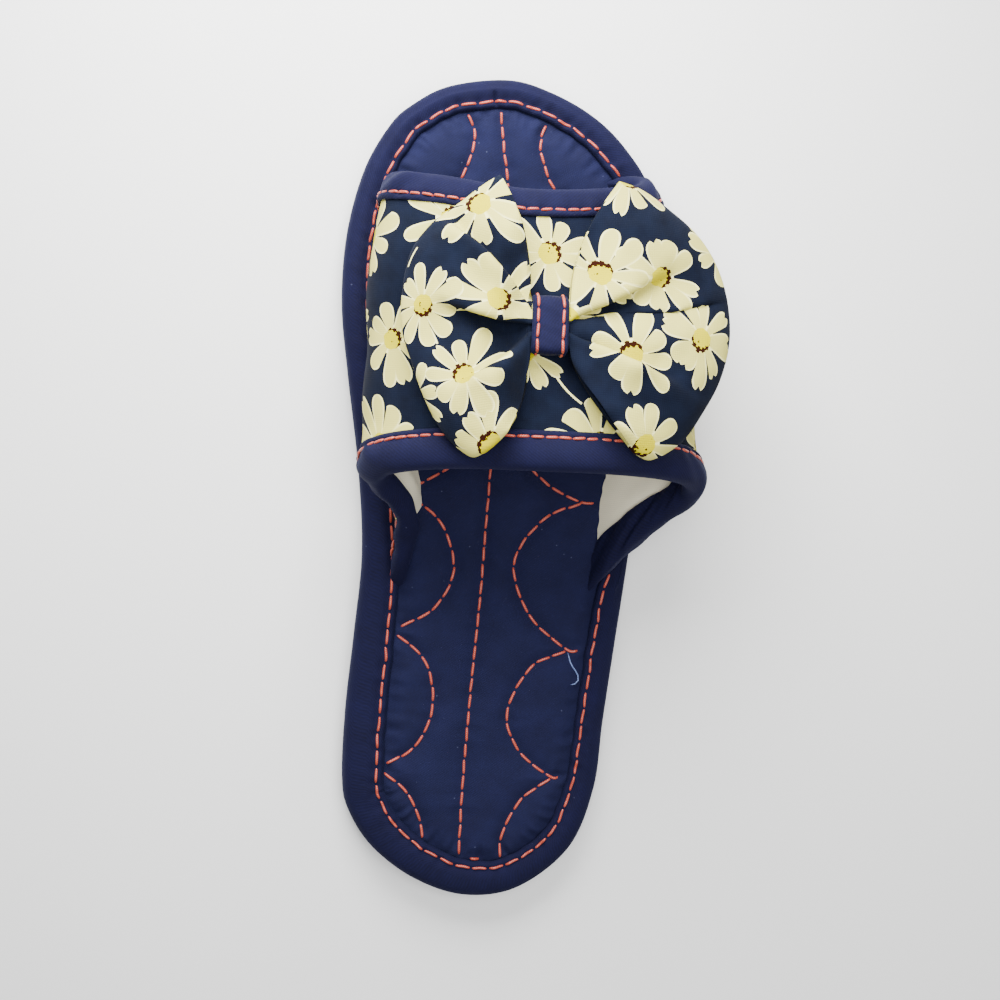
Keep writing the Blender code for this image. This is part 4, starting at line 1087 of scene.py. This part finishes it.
def ribbon(side, top, fan, across):
    """Middle of the bow's ribbon, fan from -1 under the strap to 0 beside it and 1 at the fold, and the
    place on its cloth."""
    outer = side > 0
    reach = np.where(outer, smooth(OUTER_LOOP, across, 1), smooth(ARCH_LOOP, across, 1))
    forward = np.where(outer, smooth(OUTER_LOOP, across, 2), smooth(ARCH_LOOP, across, 2))
    spread = np.maximum(fan, 0)
    shift, raised, hidden = pleats(side, spread, across)
    pinched = PINCH_HALF_WIDTH * across
    x = KNOT[0] + side * (PINCH_HALF_LENGTH * np.minimum(1 + fan, 1) + (reach - PINCH_HALF_LENGTH) * spread)
    toe_edge, heel_edge = (np.where(outer, BULGE[1][k], BULGE[-1][k]) for k in range(2))
    bulge = 1 + (np.where(across > 0, toe_edge, heel_edge) - 1) * ease(np.abs(across), *BULGE_ACROSS)
    y = KNOT[1] + pinched + (forward - pinched) * spread**bulge
    opened = ease(spread, 0.0, LOOP_OPENS_BY)
    lift = PINCH_LIFT + (LOOP_LIFT - PINCH_LIFT) * opened + (FOLD_LIFT - LOOP_LIFT) * spread**3
    opening = LOOP_OPENING * (1 - LOOP_EDGE_CLOSING * across**4)
    opening = PINCH_OPENING + (opening - PINCH_OPENING) * opened
    closing = np.sqrt(np.maximum(1 - spread**FOLD_SHARPNESS, 0))
    fold_print = opening / 2 * (1 - closing)
    opening = opening * closing
    place, width, depth = (np.where(outer, VALLEY[1][k], VALLEY[-1][k]) for k in range(3))
    pull = np.maximum(np.sin(math.pi * spread), 0) ** CREASE_FADE
    valley = pull * depth * np.exp(-(((across - place) / width) ** 2))
    gather = GATHER * np.cos(GATHERS_ACROSS * across + side)
    gather = gather * (1 - ease(spread, *GATHER_ENDS)) * ease(spread, *GATHER_STARTS)
    soft = RIBBON_WAVE * unevenness(x, y, RIBBON_WAVE_SIZE, seed=12) * pull
    fine = RIBBON_CRINKLE * unevenness(x, y, RIBBON_CRINKLE_SIZE, seed=13) * pull
    upper = opening / 2 + raised + gather + soft + fine - valley - pull * dents(x, y)
    lower = -opening / 2 + UNDERSIDE_WAVE * soft
    lift = lift + np.where(top, upper, lower)
    laid = seat(x, y) + lift
    y = y + np.where(top, shift, 0)
    outward = unit(np.stack([side * (reach - PINCH_HALF_LENGTH), forward - pinched], -1))
    cloth = np.stack([x, y + np.where(top, hidden, 0)], -1) + outward * fold_print[..., None]
    return np.stack([x, y, laid], -1), cloth


def bow():
    """Printed ribbon, pinched in the middle into two pleated loops."""
    steps = np.concatenate([np.linspace(-1, 0, STRAP_STEPS)[:-1],
                            0.5 - 0.5 * np.cos(math.pi * np.arange(FAN_STEPS + 1) / FAN_STEPS)])
    path = [(1, True, s) for s in steps]
    path += [(1, False, s) for s in steps[-2::-1]]
    path += [(-1, False, s) for s in steps[1:]]
    path += [(-1, True, s) for s in steps[-2:0:-1]]
    side, top, fan = (np.array(column)[:, None] for column in zip(*path))
    across = np.linspace(-1, 1, RIBBON_STEPS)[None, :]
    side, top, fan, across = np.broadcast_arrays(side.astype(float), top, fan, across)
    middle, cloth = ribbon(side, top, fan, across)
    run = np.roll(middle, -1, 0) - np.roll(middle, 1, 0)
    over = np.gradient(middle, axis=1)
    normal = unit(np.cross(run, over))
    outside, inside = middle + normal * RIBBON / 2, middle - normal * RIBBON / 2
    rings = np.concatenate([outside, inside[:, ::-1]], 1)
    flat = np.concatenate([cloth, cloth[:, ::-1], cloth[:, :1]], 1)
    flat = np.concatenate([flat, flat[:1]])
    piece = show(loft("ribbon_bow", rings, flat, [PRINT_BOW], joined=True), "bow", "bow")


def on_knot(aside, place):
    """Points of the strap from their places to the toe and up, this far to the side of its middle."""
    y = KNOT[1] + place[:, 0]
    x = np.full_like(y, KNOT[0])
    return np.stack([x + aside, y, seat(x, y) + place[:, 1]], 1)


def strap():
    """Navy strap round the pinched middle of the bow, with a row of stitches along both sides."""
    half = list(STRAP_RING)
    ring = half + [(-y, lift) for y, lift in reversed(half[1:-1])]
    ring = spline(ring, 6, closed=True)
    run = unit(np.roll(ring, -1, 0) - np.roll(ring, 1, 0))
    out = np.stack([-run[:, 1], run[:, 0]], 1)
    if (out * (ring - ring.mean(0))).sum() < 0:
        out = -out
    profile = spline(STRAP_PROFILE, 3, closed=True)
    length = path_lengths(np.concatenate([ring, ring[:1]]))
    rings = []
    for wide, thick in profile:
        uneven = ripple(length[:-1] + STRAP_RIPPLE_SLANT * wide, STRAP_RIPPLES, seed=14)
        raised = thick * STRAP + STRAP_RIPPLE * uneven * (thick > STRAP_RIPPLED_ABOVE)
        rings.append(on_knot(wide * STRAP_HALF_WIDTH, ring + out * raised[:, None]))
    rings = np.stack(rings, 1)
    width = np.append(profile[:, 0], profile[0, 0]) * STRAP_HALF_WIDTH
    uv = np.stack(np.broadcast_arrays(length[:, None], width[None, :]), -1)
    piece = show(loft("knot_strap", rings, uv, [NAVY_TAPE], joined=True), "bow_knot", "bow_knot")
    rows = []
    upper = ring[:, 1] > STRAP_SEAM_ABOVE
    place, ways = (ring + out * STRAP * STRAP_SEAM_SUNK)[upper], out[upper]
    order = np.argsort(np.arctan2(place[:, 0], place[:, 1] - STRAP_MIDDLE))
    place, ways = place[order], ways[order]
    for wide in (-STRAP_SEAM, STRAP_SEAM):
        rows.append((on_knot(wide, place), np.column_stack([0 * ways[:, 0], ways]), STRAP_PITCH))
    stitches = show(seam("knot_strap_stitches", rows, CORAL), "bow_knot")


# Studio, in metres and watts. The camera's own places are in millimetres.
SKY = 0.34
LIGHTS = (
    # name, place in metres, size in metres, watts
    ("key", (-0.06, 0.25, 0.20), 0.25, 3.9),
    ("fill", (0.05, -0.02, 0.56), 0.4, 3.7),
)
CAMERA = (-43.8, 18.4, 500.0)
CAMERA_TARGET = (3.1, -0.9, 15.0)
CAMERA_UP = (-0.062, 0.9981, 0.0)
VIEW_ANGLE = 34.44
SENSOR_WIDTH = 36.0
FLOOR_SIZE, FLOOR_DROP, LIGHT_AIM = 6.0, 0.0002, (0, 0, 0.02)


def studio():
    """Pale floor, a soft light low beyond the toe, a larger one overhead, and the camera."""
    bpy.ops.mesh.primitive_plane_add(size=FLOOR_SIZE, location=(0, 0, -FLOOR_DROP))
    floor = bpy.context.object
    floor.name = "floor"
    # Matte white paper backdrop: an even, dull, pale sheet
    paper = material(
        "matte_white_backdrop", Roughness=0.9, Specular_IOR_Level=0.1, Base_Color=linear(BACKDROP))[0]
    floor.data.materials.append(paper)
    world = bpy.data.worlds.new("studio")
    bpy.context.scene.world = world
    world.use_nodes = True
    world.node_tree.nodes["Background"].inputs[0].default_value = linear(SKY_COLOUR)
    world.node_tree.nodes["Background"].inputs[1].default_value = SKY
    for name, place, size, watts in LIGHTS:
        light = bpy.data.lights.new(name, "AREA")
        light.size, light.energy = size, watts
        lamp = bpy.data.objects.new(name, light)
        lamp.location = place
        lamp.rotation_euler = (Vector(LIGHT_AIM) - Vector(place)).to_track_quat("-Z", "Y").to_euler()
        bpy.context.scene.collection.objects.link(lamp)
    lens = bpy.data.cameras.new("camera")
    lens.sensor_width = SENSOR_WIDTH
    lens.lens = SENSOR_WIDTH / 2 / math.tan(math.radians(VIEW_ANGLE) / 2)
    camera = bpy.data.objects.new("camera", lens)
    place, target = Vector(CAMERA) * MM, Vector(CAMERA_TARGET) * MM
    back = (place - target).normalized()
    right = Vector(CAMERA_UP).cross(back).normalized()
    up = back.cross(right)
    turned = Matrix((right, up, back)).transposed().to_4x4()
    camera.matrix_world = Matrix.Translation(place) @ turned
    bpy.context.scene.collection.objects.link(camera)
    bpy.context.scene.camera = camera


outsole()
sole_tape()
footbed()
vamp()
band_tape("toe_edge_tape", 0, TOE_TAPE, TOE_SEAM, "toe_binding")
band_tape("collar_edge_tape", 1, COLLAR_TAPE, COLLAR_SEAM, "collar_binding")
bow()
strap()
studio()
